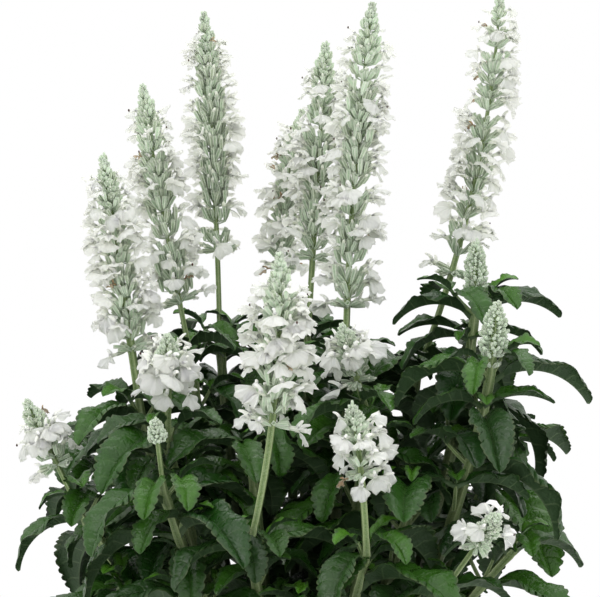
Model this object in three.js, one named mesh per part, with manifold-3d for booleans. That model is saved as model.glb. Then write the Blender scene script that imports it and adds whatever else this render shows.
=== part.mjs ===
import * as THREE from 'three';
import Module from 'manifold-3d';
import { mergeVertices } from 'three/addons/utils/BufferGeometryUtils.js';

// A white mealycup sage in its pot. Millimetres, +Z up, the origin at the
// middle of the pot's underside, and -Y towards the front of the plant.

const wasm = await Module();
wasm.setup();

// Pot and soil
const POT_HEIGHT = 120;
const RIM_RADIUS = 70;
const FOOT_RADIUS = 49;
const WALL = 2;
const FLOOR = 3;
const BAND_HEIGHT = 13;
const BAND_STEP = 1.4;
const EDGE = 1;
const POT_SIDES = 24;
const DRAIN_HOLES = 6;
const DRAIN_RADIUS = 3.6;
const SOIL_TOP = POT_HEIGHT - 8;
const SOIL_BUMP = 1.6;

// Space kept between pieces that touch, and the finest detail that joins keep
const GAP = 0.3;
const SLIVER = 0.03;

// Leafy stems: square, rooted in the soil and spreading to their tops. A tall
// one spreads first and then stands upright, a low one clears the rim.
const ROOT_DEPTH = 15;
const FOOT_SPREAD = 0.42;
const STEM_LEAN = 0.62;
const LEAN_GAIN = 0.002;
const STEM_RISE = 0.58;
const STEM_FOOT_RADIUS = 2.5;
const STEM_TOP_RADIUS = 2;
const STEM_STEPS = 4;

// Leaves, from the top pair downwards: distance below the top, length and
// the angle at which each pair leaves the stem
const PAIR_DROP = [4, 24, 47, 70];
const PAIR_LENGTH = [44, 52, 54, 50];
const PAIR_RISE = [40, 26, 14, 4];
const LEAF_ASPECT = 0.46;
const LEAF_BEND = 100;
const LEAF_FOLD = 22;
const MIDRIB = 1.3;
const MARGIN_WAVE = 1.1;

// Stations along a leaf: place, half width and which way the margin waves.
// The lower leaves, in the shade of the others, have one tooth fewer.
const UPPER_PAIRS = 2;
const UPPER_STATIONS = [
  [0, 0.11, 0],
  [0.15, 0.16, 0],
  [0.36, 1, 1],
  [0.52, 0.84, -1],
  [0.68, 0.92, 1],
  [0.84, 0.52, -1],
];
const LOWER_STATIONS = [
  [0, 0.11, 0],
  [0.15, 0.16, 0],
  [0.38, 1, 1],
  [0.58, 0.84, -1],
  [0.78, 0.7, 1],
];

// How far a leaf may differ from its kind: shares of its size, or degrees
const LEAF_VARIES = { length: 0.12, width: 0.1, heading: 16, rise: 9, bend: 22, roll: 16, sweep: 0.1, fold: 6 };

// Turns and extra droops, in degrees, that a leaf tries to stay clear
const LEAF_TRIES = [
  [0, 0], [0, 16], [15, 0], [-15, 0], [0, -16],
  [24, 14], [-24, 14], [0, 34], [38, 6], [-38, 6],
];

// Flower heads. Each whorl of calyces has a narrow ring and a ring of tips:
// the place in the whorl, and the girth at the tips and between them.
const PEDUNCLE_RADIUS = 1.9;
const PEDUNCLE_STEPS = 2;
const CALYX_RING = 8;
const WHORL_STEP = 14;
const WHORL_RINGS = [[0.02, 0.62, 0.62], [0.66, 1.08, 0.72]];
const TIP_TAPER = 0.6;
const TAPER_POWER = 1.7;

// Open flowers, set in a spiral along the lower part of a head
const SPIRAL_TURN = 137.5;
const SPIRAL_START = 60;
const SPIRAL_VARIES = 9;
const FIRST_FLOWER = 0.05;
const FLOWERING_SHARE = 0.72;
const FLOWER_ROOT = 0.4;
const LIP_REACH = 11;
const LIP_WIDTH = 14;
const LIP_HANG = 42;
const LIP_TOP = 1.6;
const LIP_UNDER = 0.3;
const HOOD_REACH = 6;
const HOOD_WIDTH = 3.6;
const HOOD_RISE = 5;

// A flowering stem's head: its tip, the sideways bow on the way there, the share
// that is bare stalk, the girth of its calyces and the number of open flowers
const flowering = (tip, bow, bare, girth, flowers) => ({ tip, bow, bare, girth, flowers });

// One entry for each stem: the top of its leafy part, the turn of its top pair
// of leaves, its number of pairs and its flower head
const SHOOTS = [
  { top: [-66, -12, 216], turn: 20, pairs: 4, head: flowering([-81, -20, 326], 0, 0.26, 8.5, 9) },
  { top: [-46, 18, 235], turn: 70, pairs: 3, head: flowering([-67, 24, 354], -2, 0.22, 8.5, 9) },
  { top: [-35, 46, 243], turn: 10, pairs: 3, head: flowering([-42, 60, 385], 2, 0.27, 8.5, 9) },
  { top: [-4, 62, 237], turn: 50, pairs: 3, head: flowering([1, 74, 342], -12, 0.34, 7.5, 9) },
  { top: [3, 26, 240], turn: 80, pairs: 3, head: flowering([11, 32, 372], 0, 0.3, 8.5, 10) },
  { top: [19, -4, 236], turn: 25, pairs: 3, head: flowering([30, -6, 388], -4, 0.17, 9, 10) },
  { top: [50, 16, 231], turn: 60, pairs: 4, head: flowering([84, 10, 392], 13, 0.27, 8, 9) },
  { top: [-20, -80, 172], turn: 35, pairs: 3, head: flowering([-8, -88, 290], 8, 0.43, 9.5, 10) },
  { top: [-54, -46, 212], turn: 80, pairs: 4, head: flowering([-53, -56, 255], 0, 0.5, 8, 6) },
  { top: [-90, -28, 178], turn: 15, pairs: 3, head: flowering([-112, -36, 226], 0, 0.44, 8, 6) },
  { top: [-54, -72, 194], turn: 30, pairs: 3, head: flowering([-57, -80, 224], 0, 0.6, 4.5, 0) },
  { top: [26, -84, 172], turn: 55, pairs: 3, head: flowering([20, -92, 232], 2, 0.52, 8, 7) },
  { top: [57, -64, 152], turn: 10, pairs: 2, head: flowering([77, -97, 189], 0, 0.62, 6.5, 6) },
  { top: [77, -50, 239], turn: 5, pairs: 4, head: flowering([79, -55, 268], 0, 0.25, 6.5, 0) },
  { top: [73, -10, 261], turn: 0, pairs: 4, head: flowering([73, -13, 290], 0, 0.3, 6, 0) },
  { top: [27, -38, 222], turn: 45, pairs: 3, head: flowering([17, -46, 258], 0, 0.35, 8, 6) },
  { top: [0, -88, 148], turn: 60, pairs: 2 },
  { top: [-43, -80, 150], turn: 0, pairs: 2 },
  { top: [-73, -53, 152], turn: 70, pairs: 2 },
  { top: [88, -40, 166], turn: 40, pairs: 3 },
  { top: [86, 14, 202], turn: 30, pairs: 3 },
  { top: [-84, 20, 198], turn: 55, pairs: 3 },
  { top: [-66, 58, 190], turn: 10, pairs: 3 },
  { top: [-24, 90, 180], turn: 75, pairs: 3 },
  { top: [30, 88, 186], turn: 20, pairs: 3 },
  { top: [68, 58, 198], turn: 65, pairs: 3 },
  { top: [47, -48, 192], turn: 85, pairs: 3 },
  { top: [-20, -42, 206], turn: 15, pairs: 3 },
];

const radians = THREE.MathUtils.degToRad;
const vector = (x, y, z) => new THREE.Vector3(x, y, z);

// A repeatable draw between -1 and 1 for a piece and one of its features
function draw(piece, feature) {
  const wave = Math.sin(piece * 127.1 + feature * 311.7) * 4375.85453;
  return 2 * (wave - Math.floor(wave)) - 1;
}

// A point given by its distances along three directions from a centre
function offset(centre, directions, distances) {
  const point = centre.clone();
  directions.forEach((direction, i) => point.addScaledVector(direction, distances[i]));
  return point;
}

// Solids

function solid(points, faces) {
  const vertProperties = Float32Array.from(points.flatMap((point) => point.toArray()));
  const triVerts = Uint32Array.from(faces.flat());
  return new wasm.Manifold(new wasm.Mesh({ numProp: 3, vertProperties, triVerts }));
}

function solidOf(geometry) {
  geometry.deleteAttribute('normal');
  geometry.deleteAttribute('uv');
  const merged = mergeVertices(geometry);
  const vertProperties = new Float32Array(merged.attributes.position.array);
  const triVerts = new Uint32Array(merged.index.array);
  return new wasm.Manifold(new wasm.Mesh({ numProp: 3, vertProperties, triVerts }));
}

// A closed skin over rings of points, ending in a flat face or in a tip. Its
// quads are split in mirrored pairs, so a thin blade never crosses itself.
function loft(rings, tip) {
  const size = rings[0].length;
  const points = rings.flat();
  const last = points.length - size;
  const faces = [];
  for (let i = 0; i < last; i += size) {
    for (let k = 0; k < size; k += 1) {
      const [a, b] = [i + k, i + (k + 1) % size];
      const [c, d] = [b + size, a + size];
      faces.push(...(k % 2 ? [[a, b, d], [b, c, d]] : [[a, b, c], [a, c, d]]));
    }
  }
  for (let k = 1; k < size - 1; k += 1) {
    faces.push([0, k + 1, k]);
    if (!tip) faces.push([last, last + k, last + k + 1]);
  }
  if (tip) {
    points.push(tip);
    for (let k = 0; k < size; k += 1) faces.push([last + k, last + (k + 1) % size, points.length - 1]);
  }
  return solid(points, faces);
}

// The outer body of a join, without loose scraps, sealed hollows or slivers
function whole(joined) {
  return joined.decompose().sort((one, other) => other.volume() - one.volume())[0].simplify(SLIVER);
}

function join(pieces) {
  return whole(pieces.reduce((sum, piece) => sum.add(piece)));
}

function mesh(name, body, material) {
  const { vertProperties, triVerts } = body.getMesh();
  const geometry = new THREE.BufferGeometry();
  geometry.setAttribute('position', new THREE.BufferAttribute(vertProperties, 3));
  geometry.setIndex(new THREE.BufferAttribute(triVerts, 1));
  geometry.computeVertexNormals();
  const piece = new THREE.Mesh(geometry, material);
  piece.name = name;
  return piece;
}

// Two directions across a stalk that runs along a tangent
function across(tangent, turn) {
  const side = vector(1, 0, 0).addScaledVector(tangent, -tangent.x).normalize();
  side.applyAxisAngle(tangent, turn);
  return [side, vector(0, 0, 0).crossVectors(tangent, side)];
}

function ring(centre, directions, radii) {
  return radii.map((radius, k) => {
    const angle = 2 * Math.PI * k / radii.length;
    return offset(centre, directions, [radius * Math.cos(angle), radius * Math.sin(angle)]);
  });
}

function square(centre, tangent, radius, turn) {
  return ring(centre, across(tangent, turn), Array(4).fill(radius));
}

// The rings of a four-sided stalk along a curve, from its start to a share of it
function stalk(curve, end, footRadius, topRadius, steps, turn) {
  return Array.from({ length: steps + 1 }, (_, i) => {
    const share = end * i / steps;
    const radius = footRadius + (topRadius - footRadius) * i / steps;
    return square(curve.getPoint(share), curve.getTangent(share), radius, turn);
  });
}

// Pot and soil

function turned(profile) {
  const geometry = new THREE.LatheGeometry(profile.map(([r, z]) => new THREE.Vector2(r, z)), POT_SIDES);
  geometry.rotateX(Math.PI / 2);
  return geometry;
}

// Outer radius of the tapered wall at a height
function wallRadius(z) {
  const wallTop = RIM_RADIUS - BAND_STEP;
  return FOOT_RADIUS + (wallTop - FOOT_RADIUS) * z / POT_HEIGHT;
}

function makePot() {
  const bandFoot = POT_HEIGHT - BAND_HEIGHT;
  let pot = solidOf(turned([
    [0, 0],
    [FOOT_RADIUS - EDGE, 0],
    [wallRadius(EDGE), EDGE],
    [wallRadius(bandFoot), bandFoot],
    [wallRadius(bandFoot) + BAND_STEP, bandFoot + EDGE],
    [RIM_RADIUS, POT_HEIGHT - EDGE],
    [RIM_RADIUS - EDGE, POT_HEIGHT],
    [wallRadius(POT_HEIGHT) - WALL, POT_HEIGHT],
    [wallRadius(FLOOR) - WALL, FLOOR],
    [0, FLOOR],
  ]));
  for (let i = 0; i < DRAIN_HOLES; i += 1) {
    const drill = new THREE.CylinderGeometry(DRAIN_RADIUS, DRAIN_RADIUS, 4 * WALL, 6);
    drill.rotateZ(Math.PI / 2);
    drill.translate(FOOT_RADIUS, 0, FLOOR + 1.5 * DRAIN_RADIUS);
    drill.rotateZ(2 * Math.PI * (i / DRAIN_HOLES + 0.5 / POT_SIDES));
    pot = pot.subtract(solidOf(drill));
  }
  return whole(pot);
}

function soilHeight(x, y) {
  return SOIL_TOP + SOIL_BUMP * (Math.sin(x / 9 + 1) * Math.cos(y / 11) - 0.4);
}

// The soil fills the pot, with a plain hole for each stem
function makeSoil() {
  const foot = FLOOR + GAP;
  const inner = (z) => wallRadius(z) - WALL - GAP;
  const edge = inner(SOIL_TOP);
  const middle = edge * 0.55;
  const geometry = turned([[0, foot], [inner(foot), foot], [edge, SOIL_TOP], [middle, SOIL_TOP], [0, SOIL_TOP]]);
  const place = geometry.attributes.position;
  for (let i = 0; i < place.count; i += 1) {
    const [x, y] = [place.getX(i), place.getY(i)];
    if (Math.hypot(x, y) < middle + 1 && place.getZ(i) > foot) place.setZ(i, soilHeight(x, y));
  }
  const holes = SHOOTS.map((shoot) => stemHole(shoot));
  return whole(holes.reduce((soil, hole) => soil.subtract(hole), solidOf(geometry)));
}

// Leafy stems

function stemCurve({ top: [x, y, z] }) {
  const foot = SOIL_TOP - ROOT_DEPTH;
  const lean = STEM_LEAN + LEAN_GAIN * (z - SOIL_TOP);
  return new THREE.QuadraticBezierCurve3(
    vector(x * FOOT_SPREAD, y * FOOT_SPREAD, foot),
    vector(x * lean, y * lean, foot + (z - foot) * STEM_RISE),
    vector(x, y, z),
  );
}

function makeStem(shoot) {
  const turn = radians(shoot.turn);
  return loft(stalk(stemCurve(shoot), 1, STEM_FOOT_RADIUS, STEM_TOP_RADIUS, STEM_STEPS, turn));
}

// The lower half of the stem, a little larger all round
function stemHole(shoot) {
  const wider = STEM_FOOT_RADIUS + GAP * Math.SQRT2;
  const curve = stemCurve(shoot);
  const rings = stalk(curve, 0.5, wider, wider, STEM_STEPS / 2, radians(shoot.turn));
  rings[0].forEach((point) => point.addScaledVector(curve.getTangent(0), -GAP));
  return loft(rings);
}

// A leaf's place, size and pose, before it is bent clear of its neighbours
function leafOf(shoot, index, pair, twin) {
  const piece = index * 2 * PAIR_DROP.length + pair * 2 + twin + 1;
  const vary = (feature, order) => LEAF_VARIES[feature] * draw(piece, order);
  const curve = stemCurve(shoot);
  const length = PAIR_LENGTH[pair] * (1 + vary('length', 1));
  return {
    root: curve.getPoint(1 - PAIR_DROP[pair] / curve.getLength()),
    stations: pair < UPPER_PAIRS ? UPPER_STATIONS : LOWER_STATIONS,
    heading: radians(shoot.turn + 90 * pair + 180 * twin + vary('heading', 2)),
    rise: radians(PAIR_RISE[pair] + vary('rise', 3)),
    bend: radians(LEAF_BEND + vary('bend', 4)),
    roll: radians(vary('roll', 5)),
    sweep: vary('sweep', 6),
    fold: radians(LEAF_FOLD + vary('fold', 7)),
    length,
    halfWidth: length * LEAF_ASPECT * (1 + vary('width', 8)) / 2,
  };
}

// The midrib runs along an arc that rises from the stem and bends down
function leafFrame(leaf, share) {
  const ahead = vector(Math.cos(leaf.heading), Math.sin(leaf.heading), 0);
  const left = vector(-Math.sin(leaf.heading), Math.cos(leaf.heading), 0);
  const up = vector(0, 0, 1);
  const angle = leaf.rise - leaf.bend * share;
  const radius = leaf.length / leaf.bend;
  const centre = offset(leaf.root, [ahead, left, up], [
    radius * (Math.sin(leaf.rise) - Math.sin(angle)),
    leaf.sweep * leaf.length * share * share,
    radius * (Math.cos(angle) - Math.cos(leaf.rise)),
  ]);
  const flatFace = offset(vector(0, 0, 0), [ahead, up], [-Math.sin(angle), Math.cos(angle)]);
  const roll = leaf.roll * share;
  const side = offset(vector(0, 0, 0), [left, flatFace], [Math.cos(roll), Math.sin(roll)]);
  const face = offset(vector(0, 0, 0), [flatFace, left], [Math.cos(roll), -Math.sin(roll)]);
  return { centre, side, face };
}

function leafRings(leaf) {
  return leaf.stations.map(([share, width, wave]) => {
    const { centre, side, face } = leafFrame(leaf, share);
    const half = leaf.halfWidth * width;
    const spread = half * Math.cos(leaf.fold);
    const lift = half * Math.sin(leaf.fold) + MARGIN_WAVE * wave;
    const rib = MIDRIB / 2;
    return [[spread, lift], [0, rib], [-spread, lift], [0, -rib]].map((at) => offset(centre, [side, face], at));
  });
}

function bentLeaf(leaf, [turn, droop]) {
  return { ...leaf, heading: leaf.heading + radians(turn), rise: leaf.rise - radians(droop) };
}

function leafSolids(leaf) {
  const rings = leafRings(leaf);
  const tip = leafFrame(leaf, 1).centre;
  const full = loft(rings, tip);
  return { full, blade: loft(rings.slice(1), tip), box: full.boundingBox() };
}

function boxesMeet(one, other) {
  return [0, 1, 2].every((i) => one.min[i] - GAP < other.max[i] && other.min[i] - GAP < one.max[i]);
}

// Whether a leaf keeps its gap to all that is placed. It may touch its own
// stem, and of the leaves on that stem it only has to miss the blades.
function isClear(leaf, owner, placed) {
  return placed.every((other) => {
    if (!boxesMeet(leaf.box, other.box)) return true;
    if (other.owner !== owner) return leaf.full.minGap(other.full, GAP) >= GAP;
    return !other.blade || leaf.blade.minGap(other.blade, GAP) >= GAP;
  });
}

function placeLeaf(leaf, owner, placed) {
  for (const attempt of LEAF_TRIES) {
    const solids = leafSolids(bentLeaf(leaf, attempt));
    if (isClear(solids, owner, placed)) {
      placed.push({ ...solids, owner });
      return [solids.full];
    }
  }
  return [];
}

// Flower heads

function headCurve(shoot) {
  const stem = stemCurve(shoot);
  const start = stem.getPoint(1).addScaledVector(stem.getTangent(1), GAP);
  const tip = vector(...shoot.head.tip);
  const middle = start.clone().lerp(tip, 0.5).add(vector(shoot.head.bow, 0, 0));
  return new THREE.QuadraticBezierCurve3(start, middle, tip);
}

// The girth tapers to the bud cone at the tip
function girthAt(head, share) {
  return head.girth * (1 - TIP_TAPER * share ** TAPER_POWER);
}

// Calyces in staggered whorls, standing out of the head's core as relief
function makeCalyces(curve, head) {
  const length = curve.getLength() * (1 - head.bare);
  const whorls = Math.max(2, Math.round(length / WHORL_STEP));
  const rings = [];
  for (let i = 0; i < whorls; i += 1) {
    WHORL_RINGS.forEach(([step, high, low]) => {
      const share = (i + step) / whorls;
      const along = head.bare + (1 - head.bare) * share;
      const radius = girthAt(head, share);
      const radii = Array.from({ length: CALYX_RING }, (_, k) => radius * ((k + i) % 2 ? low : high));
      rings.push(ring(curve.getPoint(along), across(curve.getTangent(along), 0), radii));
    });
  }
  return loft(rings, curve.getPoint(1));
}

// An open flower: a broad three-lobed lower lip that hangs under a narrow hood
function makeFlower(curve, head, number) {
  const share = FIRST_FLOWER + FLOWERING_SHARE * (number + 0.5) / head.flowers;
  const along = head.bare + (1 - head.bare) * share;
  const tangent = curve.getTangent(along);
  const turn = SPIRAL_START + SPIRAL_TURN * number + SPIRAL_VARIES * draw(number, head.girth);
  const directions = [...across(tangent, radians(turn)), tangent];
  const at = (...distances) => offset(curve.getPoint(along), directions, distances);
  const radius = girthAt(head, share);
  const root = radius * FLOWER_ROOT;
  const hang = radians(LIP_HANG);
  const lip = (reach, side, height) => at(
    radius + reach * Math.cos(hang) + height * Math.sin(hang),
    side * LIP_WIDTH,
    reach * -Math.sin(hang) + height * Math.cos(hang),
  );
  const outline = [
    at(root, 0, 0),
    lip(1, -0.22, 0),
    lip(0.55 * LIP_REACH, -0.5, 0),
    lip(LIP_REACH, 0, -1),
    lip(0.55 * LIP_REACH, 0.5, 0),
    lip(1, 0.22, 0),
  ];
  const size = outline.length;
  const points = [...outline, lip(LIP_REACH / 2, 0, LIP_TOP), lip(LIP_REACH / 2, 0, LIP_UNDER)];
  const faces = outline.flatMap((_, k) => [[k, (k + 1) % size, size], [(k + 1) % size, k, size + 1]]);
  const hood = [
    at(root, -HOOD_WIDTH / 2, 0.3 * HOOD_RISE),
    at(root, HOOD_WIDTH / 2, 0.3 * HOOD_RISE),
    at(root, 0, 0.9 * HOOD_RISE),
    at(radius + HOOD_REACH, 0, HOOD_RISE),
  ];
  return [solid(points, faces), solid(hood, [[0, 2, 1], [0, 1, 3], [1, 2, 3], [2, 0, 3]])];
}

function makeHead(shoot) {
  const { head } = shoot;
  const curve = headCurve(shoot);
  const stalkEnd = head.bare + 0.3 * (1 - head.bare);
  const turn = radians(shoot.turn);
  const rings = stalk(curve, stalkEnd, PEDUNCLE_RADIUS, PEDUNCLE_RADIUS, PEDUNCLE_STEPS, turn);
  rings[0] = square(curve.getPoint(0), stemCurve(shoot).getTangent(1), PEDUNCLE_RADIUS, turn);
  const flowers = Array.from({ length: head.flowers }, (_, number) => makeFlower(curve, head, number));
  return join([makeCalyces(curve, head), loft(rings), ...flowers.flat()]);
}

// Materials

const plastic = new THREE.MeshStandardMaterial({ color: '#4b4a46', roughness: 0.55, metalness: 0 });
const earth = new THREE.MeshStandardMaterial({ color: '#3a2b20', roughness: 0.95, metalness: 0 });
const foliage = () => new THREE.MeshStandardMaterial({ color: '#2f4f20', roughness: 0.42, metalness: 0 });
const bloom = () => new THREE.MeshStandardMaterial({ color: '#dfe4d8', roughness: 0.8, metalness: 0 });

// The plant

const number = (index) => String(index + 1).padStart(2, '0');
const sage = new THREE.Group();
const pot = makePot();
const soil = makeSoil();
const stems = SHOOTS.map(makeStem);
const heads = SHOOTS.map((shoot) => (shoot.head ? makeHead(shoot) : null));

sage.add(mesh('pot', pot, plastic));
sage.add(mesh('soil', soil, earth));
heads.forEach((head, index) => {
  if (head) sage.add(mesh(`flower_head_${number(index)}`, head, bloom()));
});

// Leaves go on last, the top pairs of all stems first, so that those that
// show most keep their natural pose
const standing = (full, owner) => ({ full, owner, box: full.boundingBox() });
const placed = [standing(pot, 'pot'), standing(soil, 'soil')];
stems.forEach((stem, index) => placed.push(standing(stem, index)));
heads.forEach((head, index) => {
  if (head) placed.push(standing(head, `head ${index}`));
});
const foliageOf = SHOOTS.map((_, index) => [stems[index]]);
PAIR_DROP.forEach((_, pair) => {
  SHOOTS.forEach((shoot, index) => {
    if (pair >= shoot.pairs) return;
    [0, 1].forEach((twin) => {
      foliageOf[index].push(...placeLeaf(leafOf(shoot, index, pair, twin), index, placed));
    });
  });
});
foliageOf.forEach((pieces, index) => {
  sage.add(mesh(`leafy_stem_${number(index)}`, join(pieces), foliage()));
});

export default sage;
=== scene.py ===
import math

import bpy
import numpy as np
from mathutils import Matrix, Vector


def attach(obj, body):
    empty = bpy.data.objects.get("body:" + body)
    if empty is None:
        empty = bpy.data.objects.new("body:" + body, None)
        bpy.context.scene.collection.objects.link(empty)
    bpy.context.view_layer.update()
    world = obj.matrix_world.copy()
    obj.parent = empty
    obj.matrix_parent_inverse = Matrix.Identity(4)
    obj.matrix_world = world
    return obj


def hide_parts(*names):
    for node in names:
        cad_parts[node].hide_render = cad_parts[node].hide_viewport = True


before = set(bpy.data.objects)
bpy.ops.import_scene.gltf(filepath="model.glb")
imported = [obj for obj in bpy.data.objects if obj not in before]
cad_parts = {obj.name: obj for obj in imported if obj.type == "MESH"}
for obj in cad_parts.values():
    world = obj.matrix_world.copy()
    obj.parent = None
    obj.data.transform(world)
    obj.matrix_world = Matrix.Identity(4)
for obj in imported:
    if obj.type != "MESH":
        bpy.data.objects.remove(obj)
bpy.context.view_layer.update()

# A white mealycup sage in its grower's pot. Lengths are millimetres and angles
# degrees up to the point where a piece is made, which turns them into metres.
# +Z is up, the origin is the middle of the pot's underside and -Y is the front.

MM = 0.001

# Pot and soil, as in the solids
POT_HEIGHT = 120
RIM_RADIUS = 70
FOOT_RADIUS = 49
WALL = 2
FLOOR = 3
BAND_HEIGHT = 13
BAND_STEP = 1.4
EDGE = 1
DRAIN_HOLES = 6
DRAIN_RADIUS = 3.6
DRAIN_START = 7.5
SOIL_TOP = POT_HEIGHT - 8
SOIL_BUMP = 1.6
GAP = 0.3

# Leafy stems, as in the solids
ROOT_DEPTH = 15
FOOT_SPREAD = 0.42
STEM_LEAN = 0.62
LEAN_GAIN = 0.002
STEM_RISE = 0.58
STEM_FOOT_RADIUS = 2.5
STEM_TOP_RADIUS = 2

# Leaves, as in the solids
PAIR_DROP = [4, 24, 47, 70]
PAIR_LENGTH = [44, 52, 54, 50]
PAIR_RISE = [40, 26, 14, 4]
LEAF_ASPECT = 0.46
LEAF_BEND = 100
LEAF_FOLD = 22
MARGIN_WAVE = 1.1
WAVE_START = 0.36
WAVE_LENGTH = 0.32
LEAF_VARIES = dict(length=0.12, width=0.1, heading=16, rise=9, bend=22, roll=16, sweep=0.1, fold=6)
LEAF_TRIES = [(0, 0), (0, 16), (15, 0), (-15, 0), (0, -16), (24, 14), (-24, 14), (0, 34), (38, 6),
              (-38, 6)]
TIP_MATCH = 0.1

# Flower heads, as in the solids
SPIRAL_TURN = 137.5
SPIRAL_START = 60
FIRST_FLOWER = 0.05
FLOWERING_SHARE = 0.72

# The broad lips of the short young heads hang further down
LONG_HEAD_FLOWERS = 8
SHORT_HEAD_DROOP = 26


def flowering(tip, bow, bare, girth, flowers, stalk=1.9, bloom=0.3, front=1.0, size=0.9, loose=0.3,
              pale=0.2, bloom_top=0.82, withered=0.02, neck=None, plump=0.68, low_whorl=None):
    """A flowering stem's head. Its shape comes first, as in the solids. Its looks follow: the
    radius of its stalk, the share of its calyces with open flowers, the share of those kept on
    the side that faces the front, the size of the flowers, how far its whorls stand apart, how pale
    its calyces are, the share of its spike with open flowers, the share of withered flowers, the
    place of a bare neck, the plumpness of its calyces, and the place of a small whorl below."""
    droop = SHORT_HEAD_DROOP if flowers < LONG_HEAD_FLOWERS else 0
    return dict(tip=tip, bow=bow, bare=bare, girth=girth, flowers=flowers, stalk=stalk, bloom=bloom,
                droop=droop, front=front, size=size, loose=loose, pale=pale, bloom_top=bloom_top,
                withered=withered, neck=neck, plump=plump, low_whorl=low_whorl)


def buds(tip, bare, girth, stalk, low_whorl=None):
    """A flowering stem's head that is still in bud."""
    return flowering(tip, 0, bare, girth, 0, stalk, 0.0, pale=1.0, plump=0.86, low_whorl=low_whorl)


def shoot(top, turn, pairs, head=None):
    """One stem: the top of its leafy part, the turn of its top pair of leaves, its number of
    pairs and its flower head."""
    return dict(top=top, turn=turn, pairs=pairs, head=head)


SHOOTS = [
    shoot((-66, -12, 216), 20, 4, flowering(
        tip=(-81, -20, 326), bow=0, bare=0.26, girth=8.5, flowers=9, stalk=1.8, bloom=0.57, front=0.35,
        size=0.96, loose=0.3, pale=0.75, bloom_top=0.86)),
    shoot((-46, 18, 235), 70, 3, flowering(
        tip=(-67, 24, 354), bow=-2, bare=0.22, girth=8.5, flowers=9, stalk=1.2, bloom=0.46, front=0.14,
        size=0.9, loose=0.25, pale=0.3, bloom_top=0.88, withered=0.02, neck=0.24)),
    shoot((-35, 46, 243), 10, 3, flowering(
        tip=(-42, 60, 385), bow=2, bare=0.27, girth=8.5, flowers=9, stalk=1.15, bloom=0.46, front=0.05,
        size=0.9, loose=0.15, pale=0.12, bloom_top=0.88, withered=0.02, neck=0.07)),
    shoot((-4, 62, 237), 50, 3, flowering(
        tip=(1, 74, 342), bow=-12, bare=0.34, girth=7.5, flowers=9, stalk=1.2, bloom=0.57, front=0.6,
        size=0.92, loose=0.5, pale=0.4, bloom_top=0.88, withered=0.08)),
    shoot((3, 26, 240), 80, 3, flowering(
        tip=(11, 32, 372), bow=0, bare=0.3, girth=8.5, flowers=10, stalk=1.3, bloom=0.55, front=0.5,
        size=0.92, loose=0.45, pale=0.35, bloom_top=0.86)),
    shoot((19, -4, 236), 25, 3, flowering(
        tip=(30, -6, 388), bow=-4, bare=0.17, girth=9, flowers=10, stalk=1.6, bloom=0.5, front=0.15,
        size=0.95, loose=0.35, pale=0.45, bloom_top=0.9, withered=0.02, neck=0.12)),
    shoot((50, 16, 231), 60, 4, flowering(
        tip=(84, 10, 392), bow=13, bare=0.27, girth=8, flowers=9, stalk=1.5, bloom=0.56, front=0.5,
        size=0.92, loose=0.9, pale=0.3, bloom_top=0.92, withered=0.04, neck=0.14)),
    shoot((-20, -80, 172), 35, 3, flowering(
        tip=(-8, -88, 290), bow=8, bare=0.43, girth=9.5, flowers=10, stalk=1.7, bloom=0.54, front=0.4,
        size=1.0, loose=0.3, pale=0.85, bloom_top=0.8)),
    shoot((-54, -46, 212), 80, 4, flowering(
        tip=(-53, -56, 255), bow=0, bare=0.5, girth=8, flowers=6, stalk=1.8, bloom=0.3, front=0.9,
        size=1.0, loose=0.4, pale=0.6, bloom_top=0.7)),
    shoot((-90, -28, 178), 15, 3, flowering(
        tip=(-112, -36, 226), bow=0, bare=0.44, girth=8, flowers=6, stalk=1.2, bloom=0.24, front=0.8,
        size=0.96, loose=0.3, pale=0.5, bloom_top=0.6)),
    shoot((-54, -72, 194), 30, 3, buds(
        tip=(-57, -80, 224), bare=0.7, girth=4.5, stalk=1.1)),
    shoot((26, -84, 172), 55, 3, flowering(
        tip=(20, -92, 232), bow=2, bare=0.52, girth=8, flowers=7, stalk=1.6, bloom=0.42, front=1,
        size=0.92, loose=0.5, pale=0.9, bloom_top=0.5)),
    shoot((57, -64, 152), 10, 2, flowering(
        tip=(77, -97, 189), bow=0, bare=0.62, girth=6.5, flowers=6, stalk=1.2, bloom=0.04, front=1,
        size=0.98, loose=0.4, pale=0.9, bloom_top=0.5)),
    shoot((77, -50, 239), 5, 4, buds(
        tip=(79, -55, 268), bare=0.25, girth=6.5, stalk=1.8, low_whorl=0.1)),
    shoot((73, -10, 261), 0, 4, buds(
        tip=(73, -13, 290), bare=0.3, girth=6, stalk=1.4, low_whorl=0.16)),
    shoot((27, -38, 222), 45, 3, flowering(
        tip=(17, -46, 258), bow=0, bare=0.35, girth=8, flowers=6, stalk=1.7, bloom=0.3, front=0.9,
        size=1.0, loose=0.4, pale=0.3, bloom_top=0.7)),
    shoot((0, -88, 148), 60, 2),
    shoot((-43, -80, 150), 0, 2),
    shoot((-73, -53, 152), 70, 2),
    shoot((88, -40, 166), 40, 3),
    shoot((86, 14, 202), 30, 3),
    shoot((-84, 20, 198), 55, 3),
    shoot((-66, 58, 190), 10, 3),
    shoot((-24, 90, 180), 75, 3),
    shoot((30, 88, 186), 20, 3),
    shoot((68, 58, 198), 65, 3),
    shoot((47, -48, 192), 85, 3),
    shoot((-20, -42, 206), 15, 3),
]

# Camera, at the photograph's viewing angle
LOOK_AT = (0, 0, 265)
CAMERA_DISTANCE = 1200
CAMERA_ELEVATION = 5
SENSOR = 36
FIELD_WIDTH = 252


# Points, directions and curves

CURVE_STEPS = 201


def draw(piece, feature):
    """A repeatable draw between -1 and 1 for a piece and one of its features."""
    wave = np.sin(piece * 127.1 + feature * 311.7) * 4375.85453
    return 2 * (wave - np.floor(wave)) - 1


def vector(x, y, z):
    return np.stack(np.broadcast_arrays(x, y, z), axis=-1).astype(float)


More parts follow.
